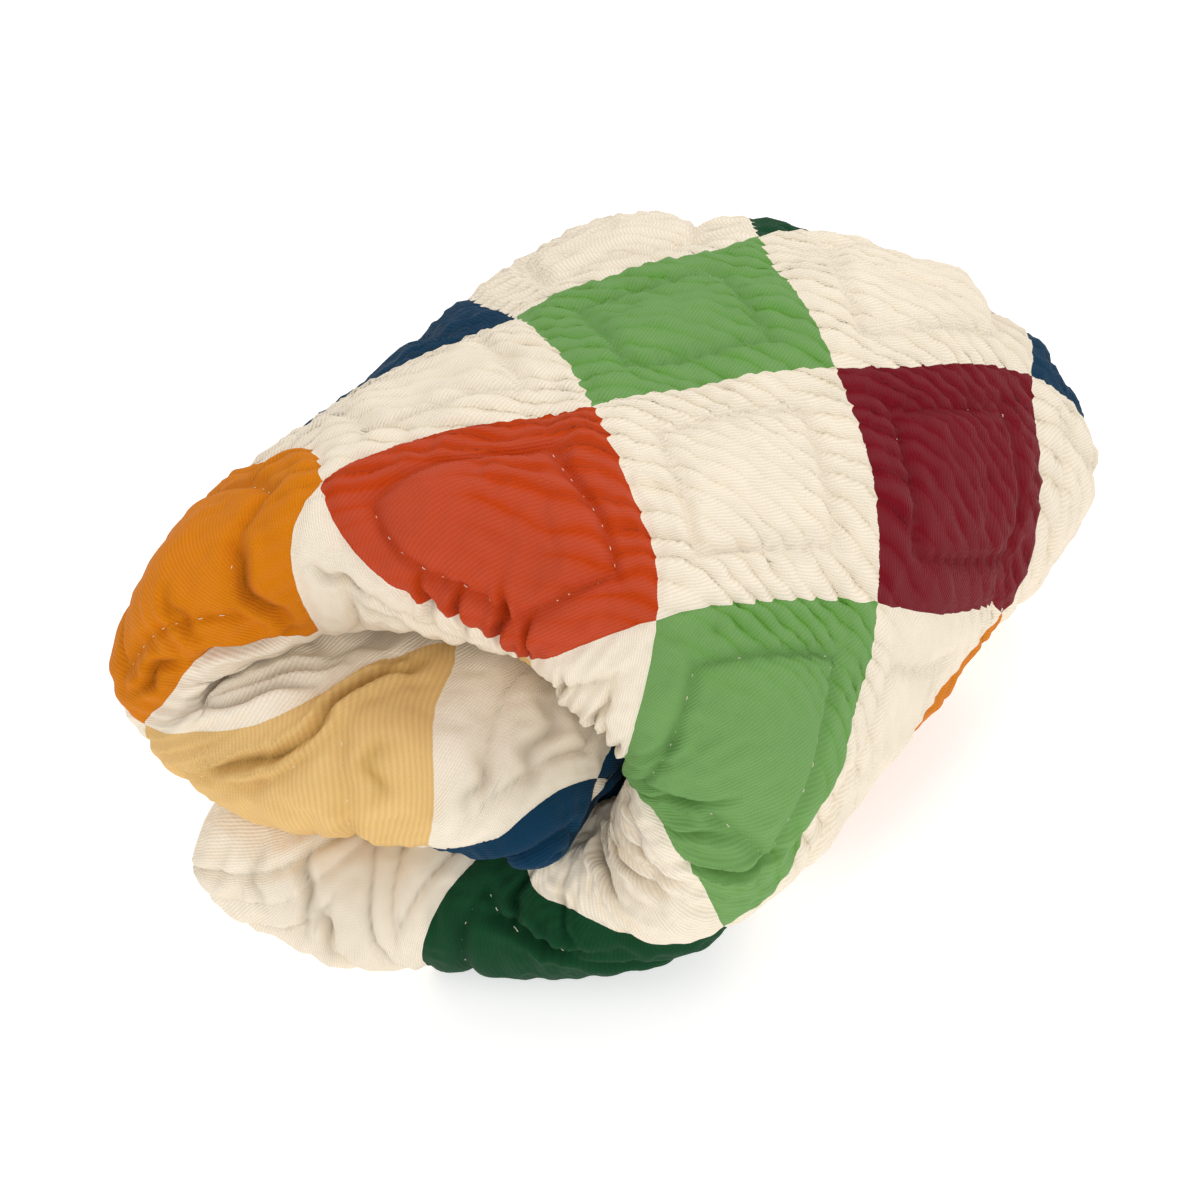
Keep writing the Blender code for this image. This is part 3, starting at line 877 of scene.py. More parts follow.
@dataclass
class ClothSettling:
    """A short cloth simulation that swells the skin between its sewn lines and lets it wrinkle."""

    frames: int = 14
    quality: int = 3
    pressure: float = 3.5
    growth: float = 0.038
    stiffness: float = 15.0
    shear: float = 5.0
    bending: float = 1.0
    damping: float = 5.0
    mass: float = 0.3
    most: float = 3.2 * MILLIMETRE
    lip_skip: int = 2
    outer_skip: int = 3

    def columns(self, sheet: Sheet) -> list[int]:
        """Which of the sheet's columns the simulated copy keeps.

        Args:
            sheet: The fine sheet.

        Returns:
            Their numbers, in order.
        """
        count = len(sheet.fine_columns)
        outer = np.arange(count) <= sheet.far_crest
        skip = np.where(sheet.fine_columns, self.lip_skip, np.where(outer, self.outer_skip, 1))
        kept = [0]
        while kept[-1] + skip[kept[-1]] < count:
            kept.append(kept[-1] + int(skip[kept[-1]]))
        return kept

    def working_copy(self, points: np.ndarray, held: np.ndarray) -> bpy.types.Object:
        """A coarse closed copy of the skin, with a vertex group for what the stitches hold.

        Args:
            points: Its points by row and column.
            held: How firmly each is held, from 0 to 1.

        Returns:
            The copy, in the scene.
        """
        rows, columns = held.shape
        number = np.arange(rows * columns).reshape(rows, columns)
        beside = np.roll(number, -1, axis=1)
        quads = np.stack([number[:-1], number[1:], beside[1:], beside[:-1]], axis=-1).reshape(-1, 4)
        mesh = bpy.data.meshes.new("working_copy")
        ends = [number[0].tolist(), number[-1, ::-1].tolist()]
        mesh.from_pydata(points.reshape(-1, 3).tolist(), [], quads.tolist() + ends)
        copy = bpy.data.objects.new("working_copy", mesh)
        bpy.context.scene.collection.objects.link(copy)
        group = copy.vertex_groups.new(name="sewn")
        for hold in np.unique(held):
            group.add(np.flatnonzero(held == hold).tolist(), float(hold), "REPLACE")
        return copy

    def settle(self, copy: bpy.types.Object) -> np.ndarray:
        """Run the simulation on the working copy and remove it.

        Args:
            copy: The working copy.

        Returns:
            Its settled points.
        """
        modifier = copy.modifiers.new("settling", "CLOTH")
        cloth = modifier.settings
        cloth.quality = self.quality
        cloth.mass = self.mass
        cloth.tension_stiffness = self.stiffness
        cloth.compression_stiffness = self.stiffness
        cloth.shear_stiffness = self.shear
        cloth.bending_stiffness = self.bending
        cloth.tension_damping = self.damping
        cloth.compression_damping = self.damping
        cloth.shear_damping = self.damping
        cloth.use_pressure = True
        cloth.uniform_pressure_force = self.pressure
        cloth.vertex_group_mass = "sewn"
        cloth.shrink_min = -self.growth
        cloth.effector_weights.gravity = 0
        modifier.collision_settings.use_collision = False
        modifier.point_cache.frame_start = 1
        modifier.point_cache.frame_end = self.frames
        scene = bpy.context.scene
        for frame_number in range(1, self.frames + 1):
            scene.frame_set(frame_number)
        settled = copy.evaluated_get(bpy.context.evaluated_depsgraph_get()).data
        points = np.empty(len(settled.vertices) * 3)
        settled.vertices.foreach_get("co", points)
        bpy.data.objects.remove(copy)
        scene.frame_set(1)
        return points.reshape(-1, 3)

    def moves(self, sheet: Sheet, points: np.ndarray, held: np.ndarray) -> np.ndarray:
        """How far each point of the sheet moves as its skin settles.

        Args:
            sheet: The fine sheet.
            points: Its points before the simulation.
            held: How firmly each is held, from 0 to 1.

        Returns:
            A move for each point, none longer than the most allowed.
        """
        rows = np.arange(0, len(points), ROW_STRIDE)
        columns = self.columns(sheet)
        chosen = np.ix_(rows, columns)
        start = points[chosen]
        settled = self.settle(self.working_copy(start, held[chosen])).reshape(start.shape)
        moves = settled - start
        length = np.linalg.norm(moves, axis=2, keepdims=True)
        moves *= self.most * np.tanh(length / self.most) / np.maximum(length, 1e-9)
        LOG.info("settling: moved by %.1f mm on average", length.mean() / MILLIMETRE)
        ring = np.concatenate([moves, moves[:, :1]], axis=1)
        all_columns = np.arange(points.shape[1])
        column_place = np.interp(all_columns, columns + [points.shape[1]], np.arange(len(columns) + 1.0))
        row_place = np.arange(len(points)) / ROW_STRIDE
        wide = smooth_through(ring.swapaxes(0, 1), column_place).swapaxes(0, 1)
        return smooth_through(wide, row_place)


@dataclass(frozen=True)
class JerseyFinish:
    """Dyed cotton jersey, a weft knit: matt, with a faint bloom of loose fibre.

    Its wales stand up as fine ribs, as far apart as they show on the real cloth, with painted light on
    the ribs and painted shade in the grooves between them. Where stitches gather it, it rolls, and
    painted shade makes its colour darker and more saturated between the rolls, in the creases and
    along the sewn lines.
    """

    name: str = "cotton_jersey_knit"
    wale_mm: float = 1.9
    course_mm: float = 1.5
    wale_height: float = 0.5
    course_height: float = 0.14
    wale_depth: float = 0.00022
    # painted light on the knit's ribs and painted shade in its grooves
    wale_shade: float = 0.12
    roughness: float = 0.88
    specular: float = 0.18
    sheen: float = 0.04
    sheen_roughness: float = 0.5
    mottle: float = 0.12
    cloud_scale: float = 5.0
    fibre_scale: float = 160.0
    groove_depth: float = 0.0007
    # painted shade between the rolls: how much darker and more saturated
    groove_shade: float = 0.085
    groove_saturation: float = 0.25
    # painted shade in the creases and along the sewn lines: how much darker and more saturated
    crease_shade: float = 0.36
    crease_saturation: float = 0.12
    scallop: float = 0.017
    scallop_middle: float = 0.6


def node(tree: bpy.types.NodeTree, kind: str, links: dict | None = None, **settings) -> bpy.types.Node:
    """Add a node with its settings and links.

    Args:
        tree: The node tree.
        kind: The node's type name.
        links: What goes into each input, by name or number: a node, for its first output, an output
            socket, or a plain value.
        **settings: The node's own properties.

    Returns:
        The new node.
    """
    made = tree.nodes.new(kind)
    for name, value in settings.items():
        setattr(made, name, value)
    for place, value in (links or {}).items():
        source = value.outputs[0] if isinstance(value, bpy.types.Node) else value
        if isinstance(source, bpy.types.NodeSocket):
            tree.links.new(source, made.inputs[place])
        else:
            made.inputs[place].default_value = source
    return made


class JerseyMaterial:
    """Builds the patchwork's material from the finish and the chart of patches."""

    # the chart's first row and column, its rows, and the columns that one ramp covers
    FIRST_ROW = -3
    FIRST_COLUMN = -3
    ROWS = 7
    COLUMNS = 3

    def __init__(self, finish: JerseyFinish, patchwork: Patchwork) -> None:
        """Start an empty material.

        Args:
            finish: The jersey's finish.
            patchwork: The patchwork, for the size of its patches.
        """
        self.finish = finish
        self.patchwork = patchwork
        self.material = bpy.data.materials.new(finish.name)
        self.material.use_nodes = True
        self.material.node_tree.nodes.clear()
        self.add = partial(node, self.material.node_tree)

    def build(self) -> bpy.types.Material:
        """Wire the material up.

        Returns:
            The finished material.
        """
        add = self.add
        finish = self.finish
        place = add("ShaderNodeUVMap", uv_map="patchwork")
        counts = add("ShaderNodeSeparateXYZ", {0: place})
        gather = add("ShaderNodeAttribute", attribute_name="gather")
        rolls = add("ShaderNodeSeparateXYZ", {0: gather.outputs["Vector"]})
        strength = rolls.outputs[1]
        phase = add(MATH, {0: rolls, 1: math.pi}, operation="MULTIPLY")
        sine = add(MATH, {0: phase}, operation="SINE")
        wave = add(MATH, {0: sine}, operation="ABSOLUTE")
        # the seams are scalloped by the rolls that cross them
        from_middle = add(MATH, {0: wave, 1: finish.scallop_middle}, operation="SUBTRACT")
        scallop = add(MATH, {0: from_middle, 1: strength}, operation="MULTIPLY")
        shift = add(MATH, {0: scallop, 1: finish.scallop}, operation="MULTIPLY")
        first = add(MATH, {0: counts, 1: shift}, operation="ADD")
        second = add(MATH, {0: counts.outputs[1], 1: shift}, operation="SUBTRACT")
        first_whole = add(MATH, {0: first}, operation="FLOOR")
        second_whole = add(MATH, {0: second}, operation="FLOOR")
        colour = self.patch_colour(first_whole, second_whole)
        wales = self.wales((first, second), (first_whole, second_whole))
        # how deep between two rolls: for the bump, and for the painted shade there
        crest = add(MATH, {0: wave, 1: 0.5}, operation="POWER")
        hollow = add(MATH, {0: 1.0, 1: crest}, operation="SUBTRACT")
        groove = add(MATH, {0: hollow, 1: strength}, operation="MULTIPLY")
        knit = add("ShaderNodeBump", {"Height": wales, "Distance": finish.wale_depth, "Strength": 1.0})
        bump = add(
            "ShaderNodeBump",
            {"Height": groove, "Distance": finish.groove_depth, "Strength": 1.0, "Normal": knit},
            invert=True,
        )
        shader = add(
            "ShaderNodeBsdfPrincipled",
            {
                "Base Color": self.shaded(colour, place, wales, groove),
                "Roughness": finish.roughness,
                "Sheen Weight": finish.sheen,
                "Sheen Roughness": finish.sheen_roughness,
                "Specular IOR Level": finish.specular,
                "Normal": bump,
            },
        )
        add("ShaderNodeOutputMaterial", {0: shader})
        return self.material

    def jersey_of(self, row: int, column: int) -> Jersey:
        """The jersey of a coloured patch, by half the sum and half the difference of its counts."""
        cycle = (3 * row + 2 * column) % len(OTHER_PATCHES)
        return PATCHES.get((row + column, row - column), OTHER_PATCHES[cycle])

    def chart(self, index: bpy.types.Node, first_column: int) -> bpy.types.Node:
        """A ramp of plain steps with the colour of each coloured patch in some columns of the chart.

        Args:
            index: Which patch, from 0 to 1.
            first_column: The first of the columns.

        Returns:
            The ramp.
        """
        ramp = self.add("ShaderNodeValToRGB", {0: index})
        ramp.color_ramp.interpolation = "CONSTANT"
        elements = ramp.color_ramp.elements
        elements.remove(elements[1])
        count = self.ROWS * self.COLUMNS
        for number in range(count):
            row, column = divmod(number, self.COLUMNS)
            stop = elements[0] if number == 0 else elements.new(number / count)
            stop.color = linear(self.jersey_of(self.FIRST_ROW + row, first_column + column).value)
        return ramp

    def patch_colour(self, first: bpy.types.Node, second: bpy.types.Node) -> bpy.types.NodeSocket:
        """The colour of each patch: cream where its counts add up to an odd number, or from the chart.

        Args:
            first: The patch's count along the first side.
            second: Its count along the second side.

        Returns:
            The colour.
        """
        add = self.add
        total = add(MATH, {0: first, 1: second}, operation="ADD")
        difference = add(MATH, {0: first, 1: second}, operation="SUBTRACT")
        parity = add(MATH, {0: total, 1: 2.0}, operation="FLOORED_MODULO")
        is_cream = add(MATH, {0: parity, 1: 0.5}, operation="GREATER_THAN")
        half_total = add(MATH, {0: total, 1: 0.5}, operation="MULTIPLY")
        half_difference = add(MATH, {0: difference, 1: 0.5}, operation="MULTIPLY")
        row = add(MATH, {0: half_total}, operation="FLOOR")
        column = add(MATH, {0: half_difference}, operation="FLOOR")
        down = add(MATH, {0: row, 1: float(self.FIRST_ROW)}, operation="SUBTRACT")
        start = add(MATH, {0: down, 1: float(self.COLUMNS)}, operation="MULTIPLY")
        later_column = self.FIRST_COLUMN + self.COLUMNS
        charts = []
        for first_column in (self.FIRST_COLUMN, later_column):
            across = add(MATH, {0: column, 1: float(first_column)}, operation="SUBTRACT")
            number = add(MATH, {0: start, 1: across}, operation="ADD")
            middle = add(MATH, {0: number, 1: 0.5}, operation="ADD")
            index = add(MATH, {0: middle, 1: float(self.ROWS * self.COLUMNS)}, operation="DIVIDE")
            charts.append(self.chart(index, first_column))
        is_later = add(MATH, {0: column, 1: later_column - 0.5}, operation="GREATER_THAN")
        dyed = add("ShaderNodeMix", {0: is_later, 6: charts[0], 7: charts[1]}, data_type="RGBA")
        cream = linear(Jersey.CREAM.value)
        patched = add("ShaderNodeMix", {0: is_cream, 6: dyed.outputs[2], 7: cream}, data_type="RGBA")
        return patched.outputs[2]

    def wales(
        self,
        counts: tuple[bpy.types.Node, bpy.types.Node],
        whole_counts: tuple[bpy.types.Node, bpy.types.Node],
    ) -> bpy.types.Node:
        """Ribs of the knit, their direction changing from patch to patch, crossed by finer courses.

        Args:
            counts: The place in the patchwork, along both sides.
            whole_counts: The patch's own whole counts.

        Returns:
            The height of the knit.
        """
        add = self.add
        finish = self.finish
        patch = add("ShaderNodeCombineXYZ", dict(enumerate(whole_counts)))
        chance = add("ShaderNodeTexWhiteNoise", {"Vector": patch}, noise_dimensions="2D")
        doubled = add(MATH, {0: chance, 1: 2.0}, operation="MULTIPLY")
        eighths = add(MATH, {0: doubled}, operation="ROUND")
        turn = add(MATH, {0: eighths, 1: math.pi / 4}, operation="MULTIPLY")
        cosine = add(MATH, {0: turn}, operation="COSINE")
        sine = add(MATH, {0: turn}, operation="SINE")
        side_mm = self.patchwork.side / MILLIMETRE
        waves = []
        for ahead, aside, joined, spacing_mm, height in (
            (*counts, "ADD", finish.wale_mm, finish.wale_height),
            (*counts[::-1], "SUBTRACT", finish.course_mm, finish.course_height),
        ):
            forward = add(MATH, {0: ahead, 1: cosine}, operation="MULTIPLY")
            sideways = add(MATH, {0: aside, 1: sine}, operation="MULTIPLY")
            across = add(MATH, {0: forward, 1: sideways}, operation=joined)
            angle = add(MATH, {0: across, 1: 2 * math.pi * side_mm / spacing_mm}, operation="MULTIPLY")
            wave = add(MATH, {0: angle}, operation="SINE")
            waves.append(add(MATH, {0: wave, 1: height}, operation="MULTIPLY"))
        return add(MATH, dict(enumerate(waves)), operation="ADD")

    def shaded(
        self,
        colour: bpy.types.NodeSocket,
        place: bpy.types.Node,
        wales: bpy.types.Node,
        groove: bpy.types.Node,
    ) -> bpy.types.Node:
        """Painted light and shade on the knit, painted shade between rolls, in creases and by sewn lines,
        and a faint mottle of dye.

        Args:
            colour: The patches' colour.
            place: The place in the patchwork.
            wales: The height of the knit.
            groove: How deep between two rolls.

        Returns:
            The toned colour.
        """
        add = self.add
        finish = self.finish
        # painted light on the knit's ribs and painted shade in its grooves
        ribs = add(MATH, {0: wales, 1: finish.wale_shade}, operation="MULTIPLY")
        value = add(MATH, {0: ribs, 1: 1.0}, operation="ADD")
        for scale, detail in ((finish.cloud_scale, 4.0), (finish.fibre_scale, 2.0)):
            noise = add("ShaderNodeTexNoise", {"Vector": place, "Scale": scale, "Detail": detail})
            swing = add(MATH, {0: noise, 1: 0.5}, operation="SUBTRACT")
            spots = add(MATH, {0: swing, 1: finish.mottle}, operation="MULTIPLY")
            value = add(MATH, {0: value, 1: spots}, operation="ADD")
        # painted shade between the rolls
        darker = add(MATH, {0: groove, 1: finish.groove_shade}, operation="MULTIPLY")
        value = add(MATH, {0: value, 1: darker}, operation="SUBTRACT")
        # painted shade in the creases and along the sewn lines
        painted_shade_mask = add("ShaderNodeAttribute", attribute_name="painted_shade_mask").outputs["Fac"]
        dimmed = add(MATH, {0: painted_shade_mask, 1: finish.crease_shade}, operation="MULTIPLY")
        lit = add(MATH, {0: 1.0, 1: dimmed}, operation="SUBTRACT")
        value = add(MATH, {0: value, 1: lit}, operation="MULTIPLY")
        # the painted shade also makes the colour more saturated, between the rolls and in the creases
        depth = 1.0
        for hollow, share in ((groove, finish.groove_saturation), (painted_shade_mask, finish.crease_saturation)):
            painted_shade_saturation = add(MATH, {0: hollow, 1: share}, operation="MULTIPLY")
            depth = add(MATH, {0: depth, 1: painted_shade_saturation}, operation="ADD")
        return add("ShaderNodeHueSaturation", {"Color": colour, "Value": value, "Saturation": depth})


@dataclass(frozen=True)
class ThreadFinish:
    """Mercerised cotton quilting thread: pale, twisted and a little glossier than the jersey."""

    name: str = "cotton_quilting_thread"
    colour: str = "#EFE3CE"
    roughness: float = 0.55
    specular: float = 0.35
    twist_mm: float = 0.6
    twist_depth: float = 0.00008


@dataclass
class RunningStitches:
    """Hand-sewn stitches along the inner square of every patch that shows, half sunk in the jersey."""

    patchwork: Patchwork
    inner_square: float
    length: float = 2.4 * MILLIMETRE
    pitch: float = 10.5 * MILLIMETRE
    radius: float = 0.27 * MILLIMETRE
    drawn_in: float = 0.6
    unsteadiness: float = 0.006
    unsteady_turn: float = 2.4
    patch_counts: range = range(-5, 8)
    sides: int = 6
    start: float = -0.05
    end: float = 1.12
    near_edge: float = -0.13
    lowest: float = 2.5 * MILLIMETRE
    stations: tuple[float, ...] = (-1.0, -0.6, 0.0, 0.6, 1.0)
    taper: tuple[float, ...] = (0.35, 0.95, 1.0, 0.95, 0.35)
    arch: tuple[float, ...] = (-1.2, 0.0, 0.45, 0.0, -1.2)
    sunk: float = -1.3

    def lines(self) -> tuple[np.ndarray, np.ndarray]:
        """Lay stitches along the inner square of every patch.

        Returns:
            Both counts in the patchwork of the points on each stitch, one stitch a row.
        """
        reach = 1 - 2 * self.inner_square
        count = round(reach * self.patchwork.side / self.pitch)
        middles = self.inner_square + (np.arange(count) + 0.5) / count * reach
        middles += self.unsteadiness * np.sin(np.arange(count) * self.unsteady_turn)
        steps = np.array(self.stations) * self.length / 2 / self.patchwork.side
        run = middles[:, None] + steps
        still = np.full_like(run, self.inner_square)
        square = [(run, still), (run, 1 - still), (still, run), (1 - still, run)]
        first = np.concatenate([side[0] for side in square])
        second = np.concatenate([side[1] for side in square])
        patches = [(one, two) for one in self.patch_counts for two in self.patch_counts]
        return (
            np.concatenate([first + one for one, two in patches]),
            np.concatenate([second + two for one, two in patches]),
        )

    def routes(self) -> tuple[np.ndarray, np.ndarray]:
        """Find where the stitches lie in the roll, leaving out those that no one sees.

        Returns:
            Their points' distances along the winding and behind the near crest.
        """
        along, behind = self.patchwork.place_of(*self.lines())
        middle = len(self.stations) // 2
        within = (along[:, middle] > self.start) & (along[:, middle] < self.end)
        shown = within & (behind[:, middle] > self.near_edge)
        return along[shown], behind[shown]

    def mesh(self, places: np.ndarray, normals: np.ndarray) -> bpy.types.Mesh:
        """Make all the stitches as one mesh of short tapered tubes.

        Args:
            places: The points on each stitch, on the cloth.
            normals: The cloth's outward direction at each of them.

        Returns:
            The mesh.
        """
        run = places[:, -1:] - places[:, :1]
        run = run / np.linalg.norm(run, axis=2, keepdims=True)
        side = np.cross(normals, run)
        side /= np.linalg.norm(side, axis=2, keepdims=True)
        up = np.cross(run, side)
        thick = np.array(self.taper)[None, :, None] * self.radius
        # some stitches are drawn into the padding until hardly anything of them shows
        is_sunk = np.random.default_rng(5).random(len(places)) < self.drawn_in
        depth = np.where(is_sunk, self.sunk, 0.0)[:, None]
        lift = (np.array(self.arch) + depth)[..., None] * self.radius
        rings = []
        for turn in np.arange(self.sides) * 2 * math.pi / self.sides:
            rings.append(places + lift * up + thick * (math.cos(turn) * side + math.sin(turn) * up))
        points = np.stack(rings, axis=2)
        number = np.arange(points.size // 3).reshape(points.shape[:3])
        beside = np.roll(number, -1, axis=2)
        quads = np.stack([number[:, :-1], beside[:, :-1], beside[:, 1:], number[:, 1:]], axis=-1)
        ends = number[:, 0, ::-1].tolist() + number[:, -1].tolist()
        mesh = bpy.data.meshes.new("running_stitches")
        mesh.from_pydata(points.reshape(-1, 3).tolist(), [], quads.reshape(-1, 4).tolist() + ends)
        mesh.shade_smooth()
        return mesh

    def material(self, finish: ThreadFinish) -> bpy.types.Material:
        """Pale thread whose twist shows as fine slanted bands.

        Args:
            finish: The thread's finish.

        Returns:
            The material.
        """
        material = bpy.data.materials.new(finish.name)
        material.use_nodes = True
        material.node_tree.nodes.clear()
        add = partial(node, material.node_tree)
        place = add("ShaderNodeTexCoord").outputs["Object"]
        # the wave texture turns by 20 radians in a unit, so this is one radian in each twist_mm
        scale = 1 / (finish.twist_mm * MILLIMETRE) / 20
        twist = add("ShaderNodeTexWave", {"Vector": place, "Scale": scale, "Distortion": 1.0})
        bump = add("ShaderNodeBump", {"Height": twist.outputs[1], "Distance": finish.twist_depth})
        shader = add(
            "ShaderNodeBsdfPrincipled",
            {
                "Base Color": linear(finish.colour),
                "Roughness": finish.roughness,
                "Specular IOR Level": finish.specular,
                "Normal": bump,
            },
        )
        add("ShaderNodeOutputMaterial", {0: shader})
        return material


@dataclass
class RolledQuilt:
    """The quilt itself: its finely laid out winding, relief, colours and stitches."""

    floor_press: float = 6.0 * MILLIMETRE
    free_hold: float = 0.3
    least_free: float = 0.35
    held_below: float = 0.6
    # where the layers press on each other, and how softly that starts
    pressed: float = 0.85
    inner_start: float = -0.125
    under_end: float = 0.21
    under_start: float = 0.085
    last_start: float = 1.0
    last_behind: float = 0.10
    fold_start: float = -0.026
    fold_along: float = 0.845
    fold_reach: float = 0.075
    fold_fade: float = 0.005
    across_fade: float = 0.012
    along_fade: float = 0.015
    patchwork: Patchwork = field(init=False)
    sheet: Sheet = field(init=False)
    quilting: Quilting = field(init=False)

    def __post_init__(self) -> None:
        """Lay out the winding and its patchwork."""
        self.patchwork = Patchwork()
        self.sheet = FineWinding().sheet(Winding())
        self.quilting = Quilting(self.patchwork)

    def normals(self, points: np.ndarray) -> np.ndarray:
        """Outward directions of the sheet, which closes on itself along its second axis.

        Args:
            points: Its points.

        Returns:
            A direction for each of them.
        """
        down_rows = np.gradient(points, axis=0)
        round_section = np.roll(points, -1, axis=1) - np.roll(points, 1, axis=1)
        normals = np.cross(round_section, down_rows)
        return normals / np.linalg.norm(normals, axis=2, keepdims=True)

    def relief_share(self) -> np.ndarray:
        """Weigh the relief, which is pressed flat between layers and on the floor.

        Returns:
            The share of it left at each point.
        """
        along, behind = self.sheet.along, self.sheet.behind
        inner = rise(self.inner_start - behind, self.across_fade)
        under = rise(self.under_end - along, self.along_fade)
        under = under * rise(behind - self.under_start, self.across_fade)
        last = rise(along - self.last_start, self.along_fade) * (behind > self.last_behind)
        at_fold = np.exp(-(((along - self.fold_along) / self.fold_reach) ** 4))
        fold = rise(self.fold_start - behind, self.fold_fade) * at_fold
        layers = np.maximum(inner, np.maximum(under, last))
        return 1 - np.maximum(self.pressed * layers, fold)

    def swelling(self) -> np.ndarray:
        """How far the roll stands out from, or has sunk below, its even form.

        Returns:
            A height for each point.
        """
        along, behind = self.sheet.along, self.sheet.behind
        total = np.zeros(along.shape)
        for *spot, size, height in SWELLS.values():
            total += height * nearness(along, behind, spot, size)
        return total

    def settled(self) -> np.ndarray:
        """Returns:
            Its points.
        """
        points = self.shaped(self.quilting)
        along, behind = self.sheet.along, self.sheet.behind
        share = self.relief_share()
        is_held = self.quilting.near_stitches(along, behind) | (share < self.held_below)
        held = np.where(is_held, 1.0, self.free_hold)
        held[0] = held[-1] = 1.0
        smooth = self.shaped(replace(self.quilting, ripple=0.0))
        liveliness = self.quilting.liveliness(along, behind)
        share = share * (self.least_free + (1 - self.least_free) * liveliness)
        points += ClothSettling().moves(self.sheet, smooth, held) * share[..., None]
        points[..., 2] = np.maximum(points[..., 2], 0.0)
        return points

    def shaped(self, quilting: Quilting) -> np.ndarray:
        """Raise the relief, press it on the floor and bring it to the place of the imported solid.

        Args:
            quilting: The relief.

        Returns:
            The points of the cloth.
        """
        smooth = self.sheet.points
        height = quilting.height(self.sheet) * self.relief_share() + self.swelling()
        points = smooth + self.normals(smooth) * height[..., None]
        points[..., 2] = np.maximum(points[..., 2] - self.floor_press, 0.0)
        low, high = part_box(NODE)
        centre = (np.array(low) + np.array(high)) / 2
        middle = (smooth.min(axis=(0, 1)) + smooth.max(axis=(0, 1))) / 2
        points[..., :2] += centre[:2] - middle[:2]
        return points

    def read_at(self, values: np.ndarray, along: np.ndarray, behind: np.ndarray) -> np.ndarray:
        """Read values that the sheet's points hold at other places of the cloth.

        Args:
            values: A value or vector for each point of the sheet.
            along: Distances along the winding.
            behind: Distances behind the near crest.

        Returns:
            The values at those places.
        """
        crest = self.sheet.far_crest
        ring = np.concatenate([values, values[:, :1]], axis=1)
        rows = np.interp(along, self.sheet.along[:, 0], np.arange(len(values)))
        low = np.minimum(rows.astype(int), len(values) - 2)
        outer_columns = np.arange(crest + 1.0)
        inner_columns = np.arange(crest + 1.0, ring.shape[1])
        column = np.empty(rows.shape)
        for index in np.ndindex(rows.shape):
            line = self.sheet.behind[low[index]]
            if behind[index] >= 0:
                column[index] = np.interp(behind[index], line[:crest + 1], outer_columns)
            else:
                column[index] = np.interp(behind[index], np.append(line[crest + 1:], 0.0), inner_columns)
        left = np.minimum(column.astype(int), ring.shape[1] - 2)
        down = (rows - low)[..., None]
        across = (column - left)[..., None]
        upper = ring[low, left] * (1 - across) + ring[low, left + 1] * across
        lower = ring[low + 1, left] * (1 - across) + ring[low + 1, left + 1] * across
        return upper * (1 - down) + lower * down

    def mesh(self, points: np.ndarray) -> bpy.types.Mesh:
        """Close the sheet into one skin, with the places in the patchwork as its UV map.

        Args:
            points: The points of the cloth.

        Returns:
            The mesh.
        """
        rows, columns = points.shape[:2]
        kept = np.zeros((rows, columns), dtype=bool)
        kept[::ROW_STRIDE] = True
        kept[:, self.sheet.fine_columns] = True
        number = np.cumsum(kept).reshape(rows, columns) - 1
        faces = [*self.faces(rows, columns)]
        mesh = bpy.data.meshes.new("rolled_quilt")
        corners = [[int(number[spot]) for spot in face] for face in faces]
        mesh.from_pydata(points[kept].tolist(), [], corners)
        self.map_patchwork(mesh, faces)
        # the rolls' count and strength, for their bump and for the painted shade between them
        phase, strength = self.quilting.ripples(self.sheet.along, self.sheet.behind)
        gather = np.stack([phase, strength * self.relief_share()], axis=-1)[kept]
        attribute = mesh.attributes.new("gather", "FLOAT2", "POINT")
        attribute.data.foreach_set("vector", gather.astype(np.float32).ravel())
        # the mask of painted shade in the creases and along the sewn lines
        attribute = mesh.attributes.new("painted_shade_mask", "FLOAT", "POINT")
        attribute.data.foreach_set("value", self.quilting.painted_shade_mask(self.sheet)[kept].astype(np.float32))
        mesh.shade_smooth()
        return mesh

    def faces(self, rows: int, columns: int) -> Iterator[list[tuple[int, int]]]:
        """Go over the faces of the skin, whose two ends come last.

        Args:
            rows: How many rows the sheet has.
            columns: How many columns.

        Yields:
            Each face, as the row and column of its corners.
        """
        fine = self.sheet.fine_columns
        for column in range(columns):
            beside = (column + 1) % columns
            step = 1 if fine[column] and fine[beside] else ROW_STRIDE
            here_step = 1 if fine[column] else step
            beside_step = 1 if fine[beside] else step
            for row in range(0, rows - 1, step):
                here = [(at, column) for at in range(row, row + step + 1, here_step)]
                there = [(at, beside) for at in range(row + step, row - 1, -beside_step)]
                yield here + there
        yield [(0, column) for column in range(columns)]
        yield [(rows - 1, column) for column in reversed(range(columns))]

    def map_patchwork(self, mesh: bpy.types.Mesh, faces: list[list[tuple[int, int]]]) -> None:
        """Give every corner of every face its place in the patchwork.

        Args:
            mesh: The skin's mesh.
            faces: Its faces, the two ends last.
        """
        columns = len(self.sheet.fine_columns)
        crest = self.sheet.far_crest
        along, behind = self.sheet.along, self.sheet.behind
        outer = np.stack(self.patchwork.squares(along, behind), axis=-1)
        # the faces that start the inner side turn the far edge with the inner side's own count
        turned = np.stack(self.patchwork.squares(along[:, crest], -behind[:, crest]), axis=-1)
        first_inner = (crest + 1) % columns
        values = []
        for face in faces[:-2]:
            is_inner = any(column == first_inner for _, column in face)
            for row, column in face:
                values.append(turned[row] if is_inner and column == crest else outer[row, column])
        values += [outer[row, column] for face in faces[-2:] for row, column in face]
        layer = mesh.uv_layers.new(name="patchwork")
        layer.data.foreach_set("uv", np.array(values, dtype=np.float32).ravel())

